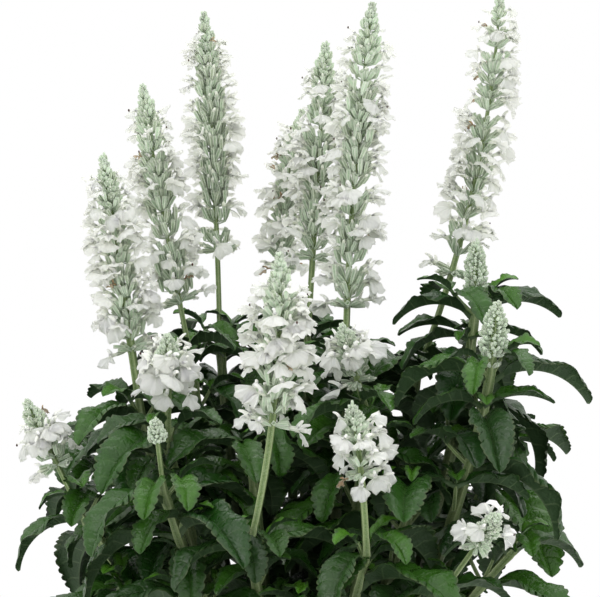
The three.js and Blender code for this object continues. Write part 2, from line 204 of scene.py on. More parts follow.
def unit(directions):
    return directions / np.linalg.norm(directions, axis=-1, keepdims=True)


def smooth(value, low, high):
    """An eased step from 0 at low to 1 at high."""
    share = np.clip((value - low) / (high - low), 0, 1)
    return share * share * (3 - 2 * share)


def curve_points(curve, share):
    share = np.asarray(share, float)[..., None]
    start, middle, end = curve
    return (1 - share) ** 2 * start + 2 * share * (1 - share) * middle + share ** 2 * end


def curve_tangents(curve, share):
    share = np.asarray(share, float)[..., None]
    start, middle, end = curve
    return unit((1 - share) * (middle - start) + share * (end - middle))


def curve_length(curve):
    steps = curve_points(curve, np.linspace(0, 1, CURVE_STEPS))
    return np.linalg.norm(np.diff(steps, axis=0), axis=1).sum()


def across(tangent, turn):
    """Two directions across a stalk that runs along a tangent."""
    side = np.array([1.0, 0, 0]) - tangent * tangent[..., :1]
    side = unit(side)
    second = np.cross(tangent, side)
    turn = np.asarray(turn, float)[..., None]
    first = side * np.cos(turn) + second * np.sin(turn)
    return first, np.cross(tangent, first)


def ring_turns(sides):
    return np.arange(sides) / sides * 2 * math.pi


def rings_round(centres, side, over, radius, turns, flat=1):
    """Rings of points round centres, spanned by a direction sideways and one across it."""
    wide = radius * np.cos(turns)
    tall = radius * flat * np.sin(turns)
    return centres[..., None, :] + side[..., None, :] * wide[..., None] + over[..., None, :] * tall[..., None]


# Closed skins

class Skin:
    """Closed meshes gathered into one piece. Every point carries a value under each mark."""

    def __init__(self, marks):
        self.points = []
        self.faces = []
        self.marks = {mark: [] for mark in marks}
        self.count = 0

    def add(self, points, faces, marks):
        """Add items alike in their faces: points is items x points x 3."""
        items, size = points.shape[:2]
        starts = self.count + size * np.arange(items)[:, None, None]
        self.points.append(points.reshape(-1, 3))
        for face in faces:
            if len(face):
                self.faces.extend((starts + face[None]).reshape(-1, face.shape[1]).tolist())
        for mark, gathered in self.marks.items():
            gathered.append(np.broadcast_to(marks[mark], (items, size)).reshape(-1))
        self.count += items * size

    def add_lofts(self, rings, tips, marks):
        """Add skins over rings of points, items x rings x ring size x 3, with a flat foot and
        a tip, or a flat end if tips is None."""
        items, steps, size = rings.shape[:3]
        points = rings.reshape(items, -1, 3)
        values = {mark: np.broadcast_to(value, rings.shape[:3]).reshape(items, -1)
                  for mark, value in marks.items()}
        if tips is not None:
            points = np.concatenate([points, tips[:, None]], axis=1)
            values = {mark: np.concatenate([value, value[:, -1:]], axis=1) for mark, value in values.items()}
        self.add(points, loft_faces(steps, size, tips is not None), values)

    def add_sheets(self, top, thickness, marks):
        """Add thin sheets from their upper sides, items x rows x columns x 3."""
        items, rows, columns = top.shape[:3]
        along = np.gradient(top, axis=1)
        over = np.gradient(top, axis=2)
        under = top - thickness * unit(np.cross(along, over))
        inner = under[:, 1:-1, 1:-1].reshape(items, -1, 3)
        points = np.concatenate([top.reshape(items, -1, 3), inner], axis=1)
        values = {}
        for mark, value in marks.items():
            value = np.broadcast_to(value, top.shape[:3])
            inside = value[:, 1:-1, 1:-1].reshape(items, -1)
            values[mark] = np.concatenate([value.reshape(items, -1), inside], axis=1)
        self.add(points, sheet_faces(rows, columns), values)


def loft_faces(steps, size, tipped):
    grid = np.arange(steps * size).reshape(steps, size)
    a, b = grid[:-1], np.roll(grid, -1, axis=1)[:-1]
    c, d = np.roll(grid, -1, axis=1)[1:], grid[1:]
    quads = np.stack([a, b, c, d], axis=-1).reshape(-1, 4)
    fan = np.arange(1, size - 1)
    triangles = [np.stack([0 * fan, fan + 1, fan], axis=-1)]
    last = grid[-1]
    if tipped:
        triangles.append(np.stack([last, np.roll(last, -1), 0 * last + steps * size], axis=-1))
    else:
        triangles.append(np.stack([0 * fan + last[0], last[fan], last[fan + 1]], axis=-1))
    return [quads, np.concatenate(triangles)]


def sheet_faces(rows, columns):
    top = np.arange(rows * columns).reshape(rows, columns)
    bottom = top.copy()
    bottom[1:-1, 1:-1] = rows * columns + np.arange((rows - 2) * (columns - 2)).reshape(rows - 2, -1)
    corners = lambda grid: [grid[:-1, :-1], grid[1:, :-1], grid[1:, 1:], grid[:-1, 1:]]
    upper = np.stack(corners(top), axis=-1).reshape(-1, 4)
    lower = np.stack(corners(bottom)[::-1], axis=-1).reshape(-1, 4)
    return [upper, lower]


def mesh_of(name, skin):
    mesh = bpy.data.meshes.new(name)
    mesh.from_pydata((np.concatenate(skin.points) * MM).tolist(), [], skin.faces)
    return mesh


def put_in_scene(name, data):
    """A mesh, light or camera as an object of the scene."""
    placed = bpy.data.objects.new(name, data)
    bpy.context.scene.collection.objects.link(placed)
    return placed


def make_piece(name, skin, material, node, crease=50):
    """A piece that rides on the plant, in a material, in place of a node of the solids."""
    mesh = mesh_of(name, skin)
    for mark, values in skin.marks.items():
        attribute = mesh.attributes.new(mark, 'FLOAT', 'POINT')
        attribute.data.foreach_set('value', np.concatenate(values).astype(np.float32))
    mesh.shade_smooth()
    mesh.set_sharp_from_angle(angle=math.radians(crease))
    mesh.materials.append(material)
    piece = put_in_scene(name, mesh)
    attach(piece, "root")
    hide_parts(node)
    return piece


# Material nodes

def linear(red, green, blue):
    """A colour in scene units from its red, green and blue out of 255."""
    channel = lambda value: ((value / 255 + 0.055) / 1.055) ** 2.4 if value > 10 else value / 255 / 12.92
    return channel(red), channel(green), channel(blue), 1.0


def add_node(tree, kind, inputs=None, **settings):
    node = tree.nodes.new(kind)
    for setting, value in settings.items():
        setattr(node, setting, value)
    for socket, value in (inputs or {}).items():
        if isinstance(value, bpy.types.NodeSocket):
            tree.links.new(value, node.inputs[socket])
        else:
            node.inputs[socket].default_value = value
    return node


def maths(tree, operation, *values):
    return add_node(tree, 'ShaderNodeMath', dict(enumerate(values)), operation=operation).outputs[0]


def plus(tree, first, second):
    return maths(tree, 'ADD', first, second)


def minus(tree, first, second):
    return maths(tree, 'SUBTRACT', first, second)


def times(tree, first, second):
    return maths(tree, 'MULTIPLY', first, second)


def ramp(tree, value, low, high, to_low=0.0, to_high=1.0):
    """A value eased from one range to another."""
    inputs = {'Value': value, 'From Min': low, 'From Max': high, 'To Min': to_low, 'To Max': to_high}
    return add_node(tree, 'ShaderNodeMapRange', inputs, interpolation_type='SMOOTHSTEP').outputs[0]


def blend(tree, share, first, second, mode='MIX'):
    node = tree.nodes.new('ShaderNodeMix')
    node.data_type = 'RGBA'
    node.blend_type = mode
    for socket, value in zip((node.inputs[0], node.inputs[6], node.inputs[7]), (share, first, second)):
        if isinstance(value, bpy.types.NodeSocket):
            tree.links.new(value, socket)
        else:
            socket.default_value = value
    return node.outputs[2]


def mark(tree, name):
    """The value that every point of a piece carries under a mark."""
    reader = add_node(tree, 'ShaderNodeAttribute', attribute_type='GEOMETRY', attribute_name=name)
    return reader.outputs['Fac']


def noise(tree, scale, detail=3.0, roughness=0.55):
    place = add_node(tree, 'ShaderNodeTexCoord').outputs['Object']
    inputs = {'Vector': place, 'Scale': scale, 'Detail': detail, 'Roughness': roughness}
    return add_node(tree, 'ShaderNodeTexNoise', inputs).outputs['Fac']


def new_group(name, inputs, outputs):
    """A node group with named inputs, given with their defaults, and named outputs."""
    group = bpy.data.node_groups.new(name, 'ShaderNodeTree')
    for socket, value in inputs.items():
        kind = 'NodeSocketColor' if isinstance(value, tuple) else 'NodeSocketFloat'
        group.interface.new_socket(socket, in_out='INPUT', socket_type=kind).default_value = value
    for socket in outputs:
        kind = 'NodeSocketColor' if socket == 'Color' else 'NodeSocketFloat'
        group.interface.new_socket(socket, in_out='OUTPUT', socket_type=kind)
    return group, group.nodes.new('NodeGroupInput').outputs, group.nodes.new('NodeGroupOutput').inputs


def grouped(tree, group, **inputs):
    """The outputs of a group placed in a material with its own values."""
    node = add_node(tree, 'ShaderNodeGroup', node_tree=group)
    for socket, value in inputs.items():
        target = node.inputs[socket.replace('_', ' ')]
        if isinstance(value, bpy.types.NodeSocket):
            tree.links.new(value, target)
        else:
            target.default_value = value
    return node.outputs


def mottling_group():
    """Soft patches in two sizes that darken and lighten a colour."""
    inputs = {'Base': (1.0, 1.0, 1.0, 1.0), 'Scale': 200.0, 'Strength': 0.2}
    group, given, put = new_group('mottling', inputs, ['Color', 'Value'])
    coarse = noise(group, given['Scale'])
    fine = noise(group, times(group, given['Scale'], 4.3))
    value = plus(group, times(group, coarse, 0.65), times(group, fine, 0.35))
    lift = times(group, minus(group, value, 0.5), given['Strength'])
    factor = plus(group, times(group, lift, 4.0), 1.0)
    grey = add_node(group, 'ShaderNodeCombineColor', {0: factor, 1: factor, 2: factor}).outputs[0]
    group.links.new(blend(group, 1.0, given['Base'], grey, 'MULTIPLY'), put['Color'])
    group.links.new(value, put['Value'])
    return group


def powder_group():
    """The mealy felt of short white hairs: a pale dust with a fine grain."""
    inputs = {'Base': (0.3, 0.4, 0.25, 1.0), 'Dust': (0.8, 0.85, 0.78, 1.0), 'Amount': 0.5}
    group, given, put = new_group('mealy felt', inputs, ['Color', 'Height'])
    grain = noise(group, 1500.0, 2.0, 0.7)
    patches = noise(group, 350.0, 2.0)
    mask = times(group, ramp(group, grain, 0.36, 0.66), ramp(group, patches, 0.2, 0.75, 0.45, 1.0))
    dusty = blend(group, times(group, mask, given['Amount']), given['Base'], given['Dust'])
    group.links.new(dusty, put['Color'])
    group.links.new(grain, put['Height'])
    return group


def ribs_group():
    """Lengthwise ribs round a stalk or calyx, from its turn as a share of a full turn."""
    group, given, put = new_group('ribs', {'Turn': 0.0, 'Count': 4.0, 'Sharpness': 1.0}, ['Mask'])
    angle = times(group, times(group, given['Turn'], given['Count']), 2 * math.pi)
    wave = plus(group, times(group, maths(group, 'COSINE', angle), 0.5), 0.5)
    group.links.new(maths(group, 'POWER', wave, given['Sharpness']), put['Mask'])
    return group


def veins_group():
    """The midrib and side veins of a leaf, from its rows and the place across it."""
    group, given, put = new_group('leaf veins', {'Row': 0.0, 'Across': 0.0}, ['Mask', 'Height'])
    reach = maths(group, 'ABSOLUTE', given['Across'])
    past_vein = maths(group, 'FRACT', plus(group, given['Row'], 0.5))
    nearest = maths(group, 'ABSOLUTE', minus(group, past_vein, 0.5))
    side_vein = ramp(group, nearest, 0.015, 0.075, 1.0, 0.0)
    fade = ramp(group, reach, 0.3, 0.98, 1.0, 0.15)
    midrib = ramp(group, reach, 0.015, 0.075, 1.0, 0.0)
    mask = maths(group, 'MAXIMUM', times(group, side_vein, fade), midrib)
    place = add_node(group, 'ShaderNodeTexCoord').outputs['Object']
    inputs = {'Vector': place, 'Scale': 430.0}
    net = add_node(group, 'ShaderNodeTexVoronoi', inputs, feature='DISTANCE_TO_EDGE')
    cells = ramp(group, net.outputs['Distance'], 0.0, 0.3)
    crumple = times(group, noise(group, 230.0, 1.0), 2.0)
    height = minus(group, plus(group, cells, crumple), mask)
    group.links.new(mask, put['Mask'])
    group.links.new(height, put['Height'])
    return group


def new_material(name, **constants):
    """A material and its shader, with what is the same all over set on the shader's sockets."""
    material = bpy.data.materials.new(name)
    material.use_nodes = True
    shader = material.node_tree.nodes['Principled BSDF']
    for socket, value in constants.items():
        shader.inputs[socket.replace('_', ' ')].default_value = value
    return material, material.node_tree, shader.inputs


def bump(tree, height, strength, distance):
    inputs = {'Height': height, 'Strength': strength, 'Distance': distance * MM}
    return add_node(tree, 'ShaderNodeBump', inputs).outputs['Normal']


def finish_surface(tree, shader, patches, smoothest, roughest):
    """The mottled colour of a surface, and the roughness that changes with its patches."""
    tree.links.new(patches['Color'], shader['Base Color'])
    tree.links.new(ramp(tree, patches['Value'], 0.3, 0.7, smoothest, roughest), shader['Roughness'])


MOTTLING = mottling_group()
POWDER = powder_group()
RIBS = ribs_group()
VEINS = veins_group()


def leaf_material():
    material, tree, shader = new_material('sage_leaf', Specular_IOR_Level=0.42)
    youth = mark(tree, 'leaf_youth')
    veins = grouped(tree, VEINS, Row=mark(tree, 'leaf_row'), Across=mark(tree, 'leaf_across'))
    upper = blend(tree, youth, linear(28, 65, 18), linear(84, 138, 36))
    upper = blend(tree, mark(tree, 'leaf_tone'), upper, linear(32, 57, 27))
    upper = blend(tree, times(tree, veins['Mask'], 0.05), upper, linear(128, 150, 92))
    rim = ramp(tree, maths(tree, 'ABSOLUTE', mark(tree, 'leaf_across')), 0.9, 1.0, 0.0, 0.3)
    upper = blend(tree, rim, upper, linear(128, 124, 84))
    lower = blend(tree, times(tree, veins['Mask'], 0.3), linear(48, 72, 42), linear(112, 132, 94))
    colour = blend(tree, mark(tree, 'leaf_side'), lower, upper)
    patches = grouped(tree, MOTTLING, Base=colour, Scale=160.0, Strength=0.22)
    tree.links.new(patches['Color'], shader['Base Color'])
    roughness = ramp(tree, patches['Value'], 0.3, 0.7, 0.22, 0.36)
    side = times(tree, minus(tree, 1.0, mark(tree, 'leaf_side')), 0.3)
    tree.links.new(plus(tree, roughness, side), shader['Roughness'])
    tree.links.new(bump(tree, veins['Height'], 0.3, 0.35), shader['Normal'])
    return material


def stem_material():
    material, tree, shader = new_material('sage_stem', Specular_IOR_Level=0.35)
    ribs = grouped(tree, RIBS, Turn=mark(tree, 'stem_turn'), Count=4.0, Sharpness=1.6)
    fine = grouped(tree, RIBS, Turn=mark(tree, 'stem_turn'), Count=12.0, Sharpness=1.0)
    stripe = plus(tree, times(tree, ribs['Mask'], 0.75),
                   times(tree, fine['Mask'], 0.25))
    colour = blend(tree, stripe, linear(84, 112, 50), linear(158, 176, 124))
    # Darker olive towards the foot: partly the older stem's own colour, partly painted shade deep in the
    # mound; the felt thins there too
    colour = blend(tree, mark(tree, 'stem_foot_age_and_shade'), colour, linear(64, 78, 38))
    dusty = times(tree, minus(tree, 1.0, mark(tree, 'stem_foot_age_and_shade')), 0.25)
    felt = grouped(tree, POWDER, Base=colour, Dust=linear(200, 208, 186), Amount=dusty)
    patches = grouped(tree, MOTTLING, Base=felt['Color'], Scale=120.0, Strength=0.15)
    finish_surface(tree, shader, patches, 0.5, 0.66)
    tree.links.new(bump(tree, stripe, 0.4, 0.25), shader['Normal'])
    return material


def calyx_material():
    material, tree, shader = new_material('mealy_calyx', Specular_IOR_Level=0.2, Sheen_Weight=0.35,
                                          Sheen_Roughness=0.5, Subsurface_Weight=0.4,
                                          Subsurface_Scale=0.002, Subsurface_Radius=(0.8, 0.9, 0.7))
    along = mark(tree, 'calyx_along')
    ribs = grouped(tree, RIBS, Turn=mark(tree, 'calyx_turn'), Count=4.0, Sharpness=1.3)
    green = blend(tree, mark(tree, 'calyx_youth'), linear(112, 138, 104), linear(194, 216, 188))
    green = blend(tree, times(tree, mark(tree, 'calyx_tone'), 0.7), green, linear(118, 126, 92))
    green = blend(tree, times(tree, ribs['Mask'], 0.8), green, linear(226, 235, 216))
    pale = ramp(tree, along, 0.75, 1.0, 0.0, 0.4)
    green = blend(tree, pale, green, linear(190, 200, 180))
    felt = grouped(tree, POWDER, Base=green, Dust=linear(230, 237, 224), Amount=0.32)
    patches = grouped(tree, MOTTLING, Base=felt['Color'], Scale=260.0, Strength=0.15)
    finish_surface(tree, shader, patches, 0.8, 0.92)
    height = plus(tree, times(tree, felt['Height'], 0.5), ribs['Mask'])
    tree.links.new(bump(tree, height, 0.5, 0.2), shader['Normal'])
    return material


def petal_material():
    material, tree, shader = new_material('white_petal', Specular_IOR_Level=0.25, Subsurface_Weight=0.8,
                                          Subsurface_Scale=0.003, Subsurface_Radius=(0.9, 0.9, 0.8),
                                          Sheen_Weight=0.3)
    throat = ramp(tree, mark(tree, 'petal_reach'), 0.0, 0.4, 1.0, 0.0)
    white = blend(tree, mark(tree, 'petal_tone'), linear(249, 250, 243), linear(241, 243, 233))
    white = blend(tree, times(tree, throat, 0.6), white, linear(206, 216, 186))
    ribs = grouped(tree, RIBS, Turn=mark(tree, 'petal_across'), Count=7.0, Sharpness=2.0)
    white = blend(tree, times(tree, ribs['Mask'], 0.1), white, linear(206, 212, 206))
    brown = grouped(tree, MOTTLING, Base=linear(142, 116, 88), Scale=300.0, Strength=0.5)
    colour = blend(tree, mark(tree, 'petal_withered'), white, brown['Color'])
    patches = grouped(tree, MOTTLING, Base=colour, Scale=200.0, Strength=0.05)
    finish_surface(tree, shader, patches, 0.55, 0.7)
    tree.links.new(bump(tree, patches['Value'], 0.25, 0.3), shader['Normal'])
    return material


def anther_material():
    material, tree, shader = new_material('dry_anther', Specular_IOR_Level=0.3)
    patches = grouped(tree, MOTTLING, Base=linear(70, 44, 34), Scale=600.0, Strength=0.5)
    finish_surface(tree, shader, patches, 0.6, 0.8)
    return material


def pot_material():
    material, tree, shader = new_material('matte_pot', Specular_IOR_Level=0.4)
    patches = grouped(tree, MOTTLING, Base=linear(60, 59, 56), Scale=40.0, Strength=0.1)
    felt = grouped(tree, POWDER, Base=patches['Color'], Dust=linear(104, 96, 82), Amount=0.14)
    tree.links.new(felt['Color'], shader['Base Color'])
    tree.links.new(ramp(tree, patches['Value'], 0.3, 0.7, 0.48, 0.62), shader['Roughness'])
    tree.links.new(bump(tree, felt['Height'], 0.2, 0.15), shader['Normal'])
    return material


def soil_material():
    material, tree, shader = new_material('potting_soil', Specular_IOR_Level=0.2)
    crumbs = blend(tree, mark(tree, 'soil_tone'), linear(50, 36, 26), linear(104, 82, 60))
    crumbs = blend(tree, mark(tree, 'soil_pale'), crumbs, linear(208, 206, 198))
    patches = grouped(tree, MOTTLING, Base=crumbs, Scale=300.0, Strength=0.6)
    finish_surface(tree, shader, patches, 0.85, 0.98)
    tree.links.new(bump(tree, noise(tree, 900.0, 4.0, 0.7), 0.8, 0.8), shader['Normal'])
    return material


LEAF = leaf_material()
STEM = stem_material()
CALYX = calyx_material()
PETAL = petal_material()
ANTHER = anther_material()


# Leafy stems

STEM_RINGS = 22
STEM_SIDES = 12
STEM_RIDGES = 4
STEM_EDGE = 0.1
NODE_SWELL = 0.22
NODE_REACH = 3.5
# Where the stems darken towards the foot: partly the older stem's own colour, partly painted shade low in the
# mound
STEM_DARK_BELOW = 0.25
STEM_GREEN_ABOVE = 0.9


def stem_curve(shoot):
    x, y, z = shoot['top']
    foot = SOIL_TOP - ROOT_DEPTH
    lean = STEM_LEAN + LEAN_GAIN * (z - SOIL_TOP)
    return (np.array([x * FOOT_SPREAD, y * FOOT_SPREAD, foot]),
            np.array([x * lean, y * lean, foot + (z - foot) * STEM_RISE]),
            np.array([x, y, z], float))


def stalk_rings(curve, shares, radii, turn, sides=STEM_SIDES):
    """Rings of a four-ridged stalk along a curve, and the turn of every point."""
    around = np.arange(sides) / sides
    first, second = across(curve_tangents(curve, shares), turn)
    ridge = 1 - STEM_EDGE + STEM_EDGE * np.cos(2 * math.pi * STEM_RIDGES * around)
    radius = radii[:, None] * ridge[None]
    return rings_round(curve_points(curve, shares), first, second, radius, ring_turns(sides)[None]), around


def add_stem(skin, shoot):
    """A leafy stem, swollen where its leaves stand and darker towards its foot, partly the older stem's own
    colour and partly painted shade low in the mound.
    """
    curve = stem_curve(shoot)
    length = curve_length(curve)
    shares = np.linspace(0, 1, STEM_RINGS)
    radii = STEM_FOOT_RADIUS + (STEM_TOP_RADIUS - STEM_FOOT_RADIUS) * shares
    for drop in PAIR_DROP:
        away = (1 - drop / length - shares) * length / NODE_REACH
        radii = radii * (1 + NODE_SWELL * np.exp(-away ** 2))
    rings, around = stalk_rings(curve, shares, radii, math.radians(shoot['turn']))
    # Share of painted shade towards the foot, together with the older stem's darker colour
    foot = 1 - smooth(shares, STEM_DARK_BELOW, STEM_GREEN_ABOVE)[None, :, None]
    skin.add_lofts(rings[None], None, {'stem_turn': around, 'stem_foot_age_and_shade': foot})


# Leaves

SIDE_VEINS = 6
ROWS_A_TOOTH = 3
PETIOLE_ROWS = [0, 0.06, 0.11]
BLADE_START = 0.13
BLADE_END = 0.985
VEIN_LEAN = 0.2
BLADE_BASE = 0.6
BLADE_TIP = 0.66
PETIOLE_WIDTH = 0.11
VEIN_CURVE = 1.3
TOOTH_DEPTH = 0.19
TOOTH_ROUND = 0.7
TOOTH_VARIES = 0.4
TOOTH_WAVES = 14
PUCKER = 1.4
RIPPLE = 1.8
RIPPLE_WAVES = 15
RIPPLE_VARIES = 3
EDGE_TWIST = 0.14
EDGE_WAVES = 5
BELLY = 2.0
BELLY_VARIES = 0.4
BLADE_THICKNESS = 0.36
PETIOLE_THICKNESS = 1.5
RIB_THICKNESS = 0.75
RIB_WIDTH = 0.16
RIB_FADES = 0.8
BLADE_NARROWS = 0.94
GROOVE = 0.4
GROOVE_WIDTH = 0.14

# How young the leaves of the top pair and of the others are, and how far that varies
TOP_YOUTH = (0.18, 0.16)
LOW_YOUTH = (0.1, 0.25)

# Teeth a side and places across, for leaves above each length
LEAF_GRIDS = [
    (42, 12, [1, 0.76, 0.4, 0, -0.4, -0.76, -1]),
    (21, 8, [1, 0.55, 0, -0.55, -1]),
    (0, 5, [1, 0.5, 0, -0.5, -1]),
]


def leaf_of(shoot, index, pair, twin):
    """A leaf of the solids, before it is bent clear of its neighbours."""
    piece = index * 2 * len(PAIR_DROP) + pair * 2 + twin + 1
    vary = lambda feature, order: LEAF_VARIES[feature] * draw(piece, order)
    curve = stem_curve(shoot)
    length = PAIR_LENGTH[pair] * (1 + vary('length', 1))
    youth, youth_varies = LOW_YOUTH if pair else TOP_YOUTH
    return dict(
        root=curve_points(curve, 1 - PAIR_DROP[pair] / curve_length(curve)),
        heading=math.radians(shoot['turn'] + 90 * pair + 180 * twin + vary('heading', 2)),
        rise=math.radians(PAIR_RISE[pair] + vary('rise', 3)),
        bend=math.radians(LEAF_BEND + vary('bend', 4)),
        roll=math.radians(vary('roll', 5)),
        sweep=vary('sweep', 6),
        fold=math.radians(LEAF_FOLD + vary('fold', 7)),
        length=length,
        half_width=length * LEAF_ASPECT * (1 + vary('width', 8)) / 2,
        youth=max(0, youth + youth_varies * draw(piece, 9)),
        tone=max(0, draw(piece, 10)) ** 2,
        piece=piece,
    )


def stacked(leaves):
    """The values of many leaves, each as an array that spreads over rows and spans."""
    values = {key: np.array([leaf[key] for leaf in leaves])[:, None, None]
              for key in leaves[0] if key != 'root'}
    values['root'] = np.array([leaf['root'] for leaf in leaves])[:, None, None, :]
    return values


def leaf_frame(leaf, share):
    """The midrib's place, and the directions sideways and out of the upper side there."""
    heading = leaf['heading']
    ahead = vector(np.cos(heading), np.sin(heading), 0 * heading)
    left = vector(-np.sin(heading), np.cos(heading), 0 * heading)
    up = np.array([0.0, 0, 1])
    angle = leaf['rise'] - leaf['bend'] * share
    radius = leaf['length'] / leaf['bend']
    centre = (leaf['root'] + ahead * (radius * (np.sin(leaf['rise']) - np.sin(angle)))[..., None]
              + left * (leaf['sweep'] * leaf['length'] * share ** 2)[..., None]
              + up * (radius * (np.cos(angle) - np.cos(leaf['rise'])))[..., None])
    flat_face = -np.sin(angle)[..., None] * ahead + np.cos(angle)[..., None] * up
    roll = (leaf['roll'] * share)[..., None]
    side = left * np.cos(roll) + flat_face * np.sin(roll)
    face = flat_face * np.cos(roll) - left * np.sin(roll)
    return centre, side, face


def bent(leaf, turn, droop):
    return dict(leaf, heading=leaf['heading'] + math.radians(turn), rise=leaf['rise'] - math.radians(droop))


def add_leaves(skin, leaves):
    """Leaves in all their sizes, the larger ones with more teeth."""
    limit = math.inf
    for least, teeth, spans in LEAF_GRIDS:
        chosen = [leaf for leaf in leaves if least <= leaf['length'] < limit]
        if chosen:
            add_blades(skin, chosen, teeth, np.array(spans))
        limit = least


def add_blades(skin, leaves, teeth, places):
    """Toothed blades on their petioles, puckered between the side veins."""
    values = stacked(leaves)
    steps = teeth * ROWS_A_TOOTH
    blade_rows = BLADE_START + (BLADE_END - BLADE_START) * np.arange(steps + 1) / steps
    rows = np.concatenate([PETIOLE_ROWS, blade_rows])[:, None]
    spans = places[None]
    reach = np.abs(spans)
    inside = np.clip((rows - BLADE_START) / (1 - BLADE_START), 0, 1)
    climb = np.clip((rows - BLADE_START) / (BLADE_END - BLADE_START), 0, 1)
    lean = VEIN_LEAN * smooth(inside, 0, 0.15) * (1 - inside)
    share = rows + lean * reach ** VEIN_CURVE
    rim = np.clip((rows + lean - BLADE_START) / (1 - BLADE_START), 0, 1)
    peak = BLADE_BASE / (BLADE_BASE + BLADE_TIP)
    widest = peak ** BLADE_BASE * (1 - peak) ** BLADE_TIP
    width = np.maximum(rim ** BLADE_BASE * (1 - rim) ** BLADE_TIP / widest, PETIOLE_WIDTH * (1 - rim))

    some = lambda order: draw(values['piece'], order)
    hand = np.sign(spans)
    uneven = 1 + TOOTH_VARIES * np.sin(climb * TOOTH_WAVES + 7 * some(21) + 1.7 * hand)
    tooth = np.abs(np.sin(math.pi * teeth * climb)) ** TOOTH_ROUND
    notch = TOOTH_DEPTH * (1 - tooth) * uneven * smooth(inside, 0.02, 0.15)
    half = BLADE_NARROWS * values['half_width'] * width * (1 - notch * reach ** 3)
    spread = half * spans * np.cos(values['fold'])
    belly = BELLY + BELLY_VARIES * some(23)
    bulge = belly * reach - (belly - 1) * reach ** 3
    wave = MARGIN_WAVE * np.cos(2 * math.pi * (share - WAVE_START) / WAVE_LENGTH) * smooth(inside, 0, 0.2)
    waves = (RIPPLE_WAVES + RIPPLE_VARIES * some(24)) * share
    ripple = RIPPLE * np.sin(waves + 6 * some(22) + hand * (1.3 + 0.5 * some(20)))
    twist = EDGE_TWIST * np.sin(EDGE_WAVES * share + 3 * some(25)) * hand * reach
    swell = np.sin(math.pi * SIDE_VEINS * climb) ** 2 * reach ** 0.7 * (1 - reach) ** 0.5
    groove = GROOVE * np.exp(-(spans / GROOVE_WIDTH) ** 2)
    blade = smooth(inside, 0, 0.12)
    size = values['length'] / PAIR_LENGTH[0]
    lift = (half * (np.sin(values['fold']) * bulge + twist)
            + size * ((wave + ripple * (1 - inside)) * reach ** 2 * width + PUCKER * swell * width
                      - groove * blade))

    thin = BLADE_THICKNESS + (PETIOLE_THICKNESS - BLADE_THICKNESS) * (1 - smooth(rows, 0.04, 0.2))
    rib = RIB_THICKNESS * (1 - RIB_FADES * inside) * np.exp(-(spans / RIB_WIDTH) ** 2)
    thickness = np.minimum(size, 1) * (thin + rib) * np.sqrt(np.clip(1 - spans ** 2, 0, 1))
    centre, side, face = leaf_frame(values, share[None] + 0 * values['heading'])
    at = lambda height: centre + side * spread[..., None] + face * height[..., None]
    top = at(lift)
    bottom = at(lift - thickness)[:, :, ::-1][:, :, 1:-1]
    tips = leaf_frame(values, np.ones_like(values['heading'], dtype=float))[0][:, 0, 0]
    inner = np.ones(len(places) - 2)
    skin.add_lofts(np.concatenate([top, bottom], axis=2), tips, {
        'leaf_row': SIDE_VEINS * climb[None],
        'leaf_across': np.concatenate([places, places[::-1][1:-1]])[None, None],
        'leaf_side': np.concatenate([[0.5], inner, [0.5], 0 * inner])[None, None],
        'leaf_youth': values['youth'],
        'leaf_tone': values['tone'],
    })


def placed_leaves(shoot, index):
    """The stem's leaves in the solids, each bent as it was to stay clear of its neighbours."""
    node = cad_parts[f'leafy_stem_{index + 1:02d}']
    corners = np.empty(len(node.data.vertices) * 3)
    node.data.vertices.foreach_get('co', corners)
    corners = corners.reshape(-1, 3) / MM
    found = []
    for pair in range(shoot['pairs']):
        for twin in (0, 1):
            leaf = leaf_of(shoot, index, pair, twin)
            for turn, droop in LEAF_TRIES:
                attempt = bent(leaf, turn, droop)
                tip = leaf_frame(stacked([attempt]), np.ones((1, 1, 1)))[0][0, 0, 0]
                if np.linalg.norm(corners - tip, axis=1).min() < TIP_MATCH:
                    found.append(attempt)
                    break
    return found


# Fresh foliage, wherever there is room between the leaves of the solids

# Rise, length and youth of the pairs of leaves at a growing tip
TIP_PAIRS = [(50, 27, 0.45), (62, 18, 0.7), (74, 11, 0.95)]
LOWER_STEP = 13
LOWER_LENGTH = 44
LOWER_SHORTENS = 2
LOWER_RISE = 8
LOWEST_LEAF = SOIL_TOP + 8
SIDE_SHOOT_RISE = 55
SIDE_SHOOT_RADIUS = 1.1
SIDE_SHOOT_TAPER = 0.25
SIDE_SHOOT_TURN = 0.4
SIDE_SHOOT_RINGS = 6
SIDE_SHOOT_SIDES = 8
SIDE_SHOOT_LENGTH = 9
SIDE_SHOOT_GAIN = 2
SIDE_SHOOT_SAG = 0.8
SIDE_SHOOT_VARIES = dict(length=5, rise=10, heading=12)

# Turn, rise, length, gain in length down the stem, and youth of a side shoot's leaves
SIDE_LEAVES = [(90, 32, 28, 3, 0.3), (-90, 32, 28, 3, 0.3), (0, 62, 17, 0, 0.65), (180, 70, 14, 0, 0.8)]
YOUTH_LOST = 0.12

# First numbers of the draws for side shoots, lower leaves and growing tips
SIDE_DRAWS = 2000.0
LOWER_DRAWS = 5000.0
TIP_DRAWS = 8000.0

FRESH_BEND = LEAF_BEND - 10
FRESH_ASPECT = LEAF_ASPECT + 0.05
FRESH_VARIES = dict(length=0.14, heading=14, rise=10, bend=24, roll=20, sweep=0.1, fold=6, width=0.12,
                    youth=0.15)
FRESH_TRIES = [(0, 0), (18, 12), (-18, 12), (0, 30), (0, -20), (40, 5), (-40, 5), (0, 50), (60, 20),
               (-60, 20)]
ROOM = 2.3
CROWD_CELL = 1.3
CROWD_CELLS = 310
CROWD_REACH = 2

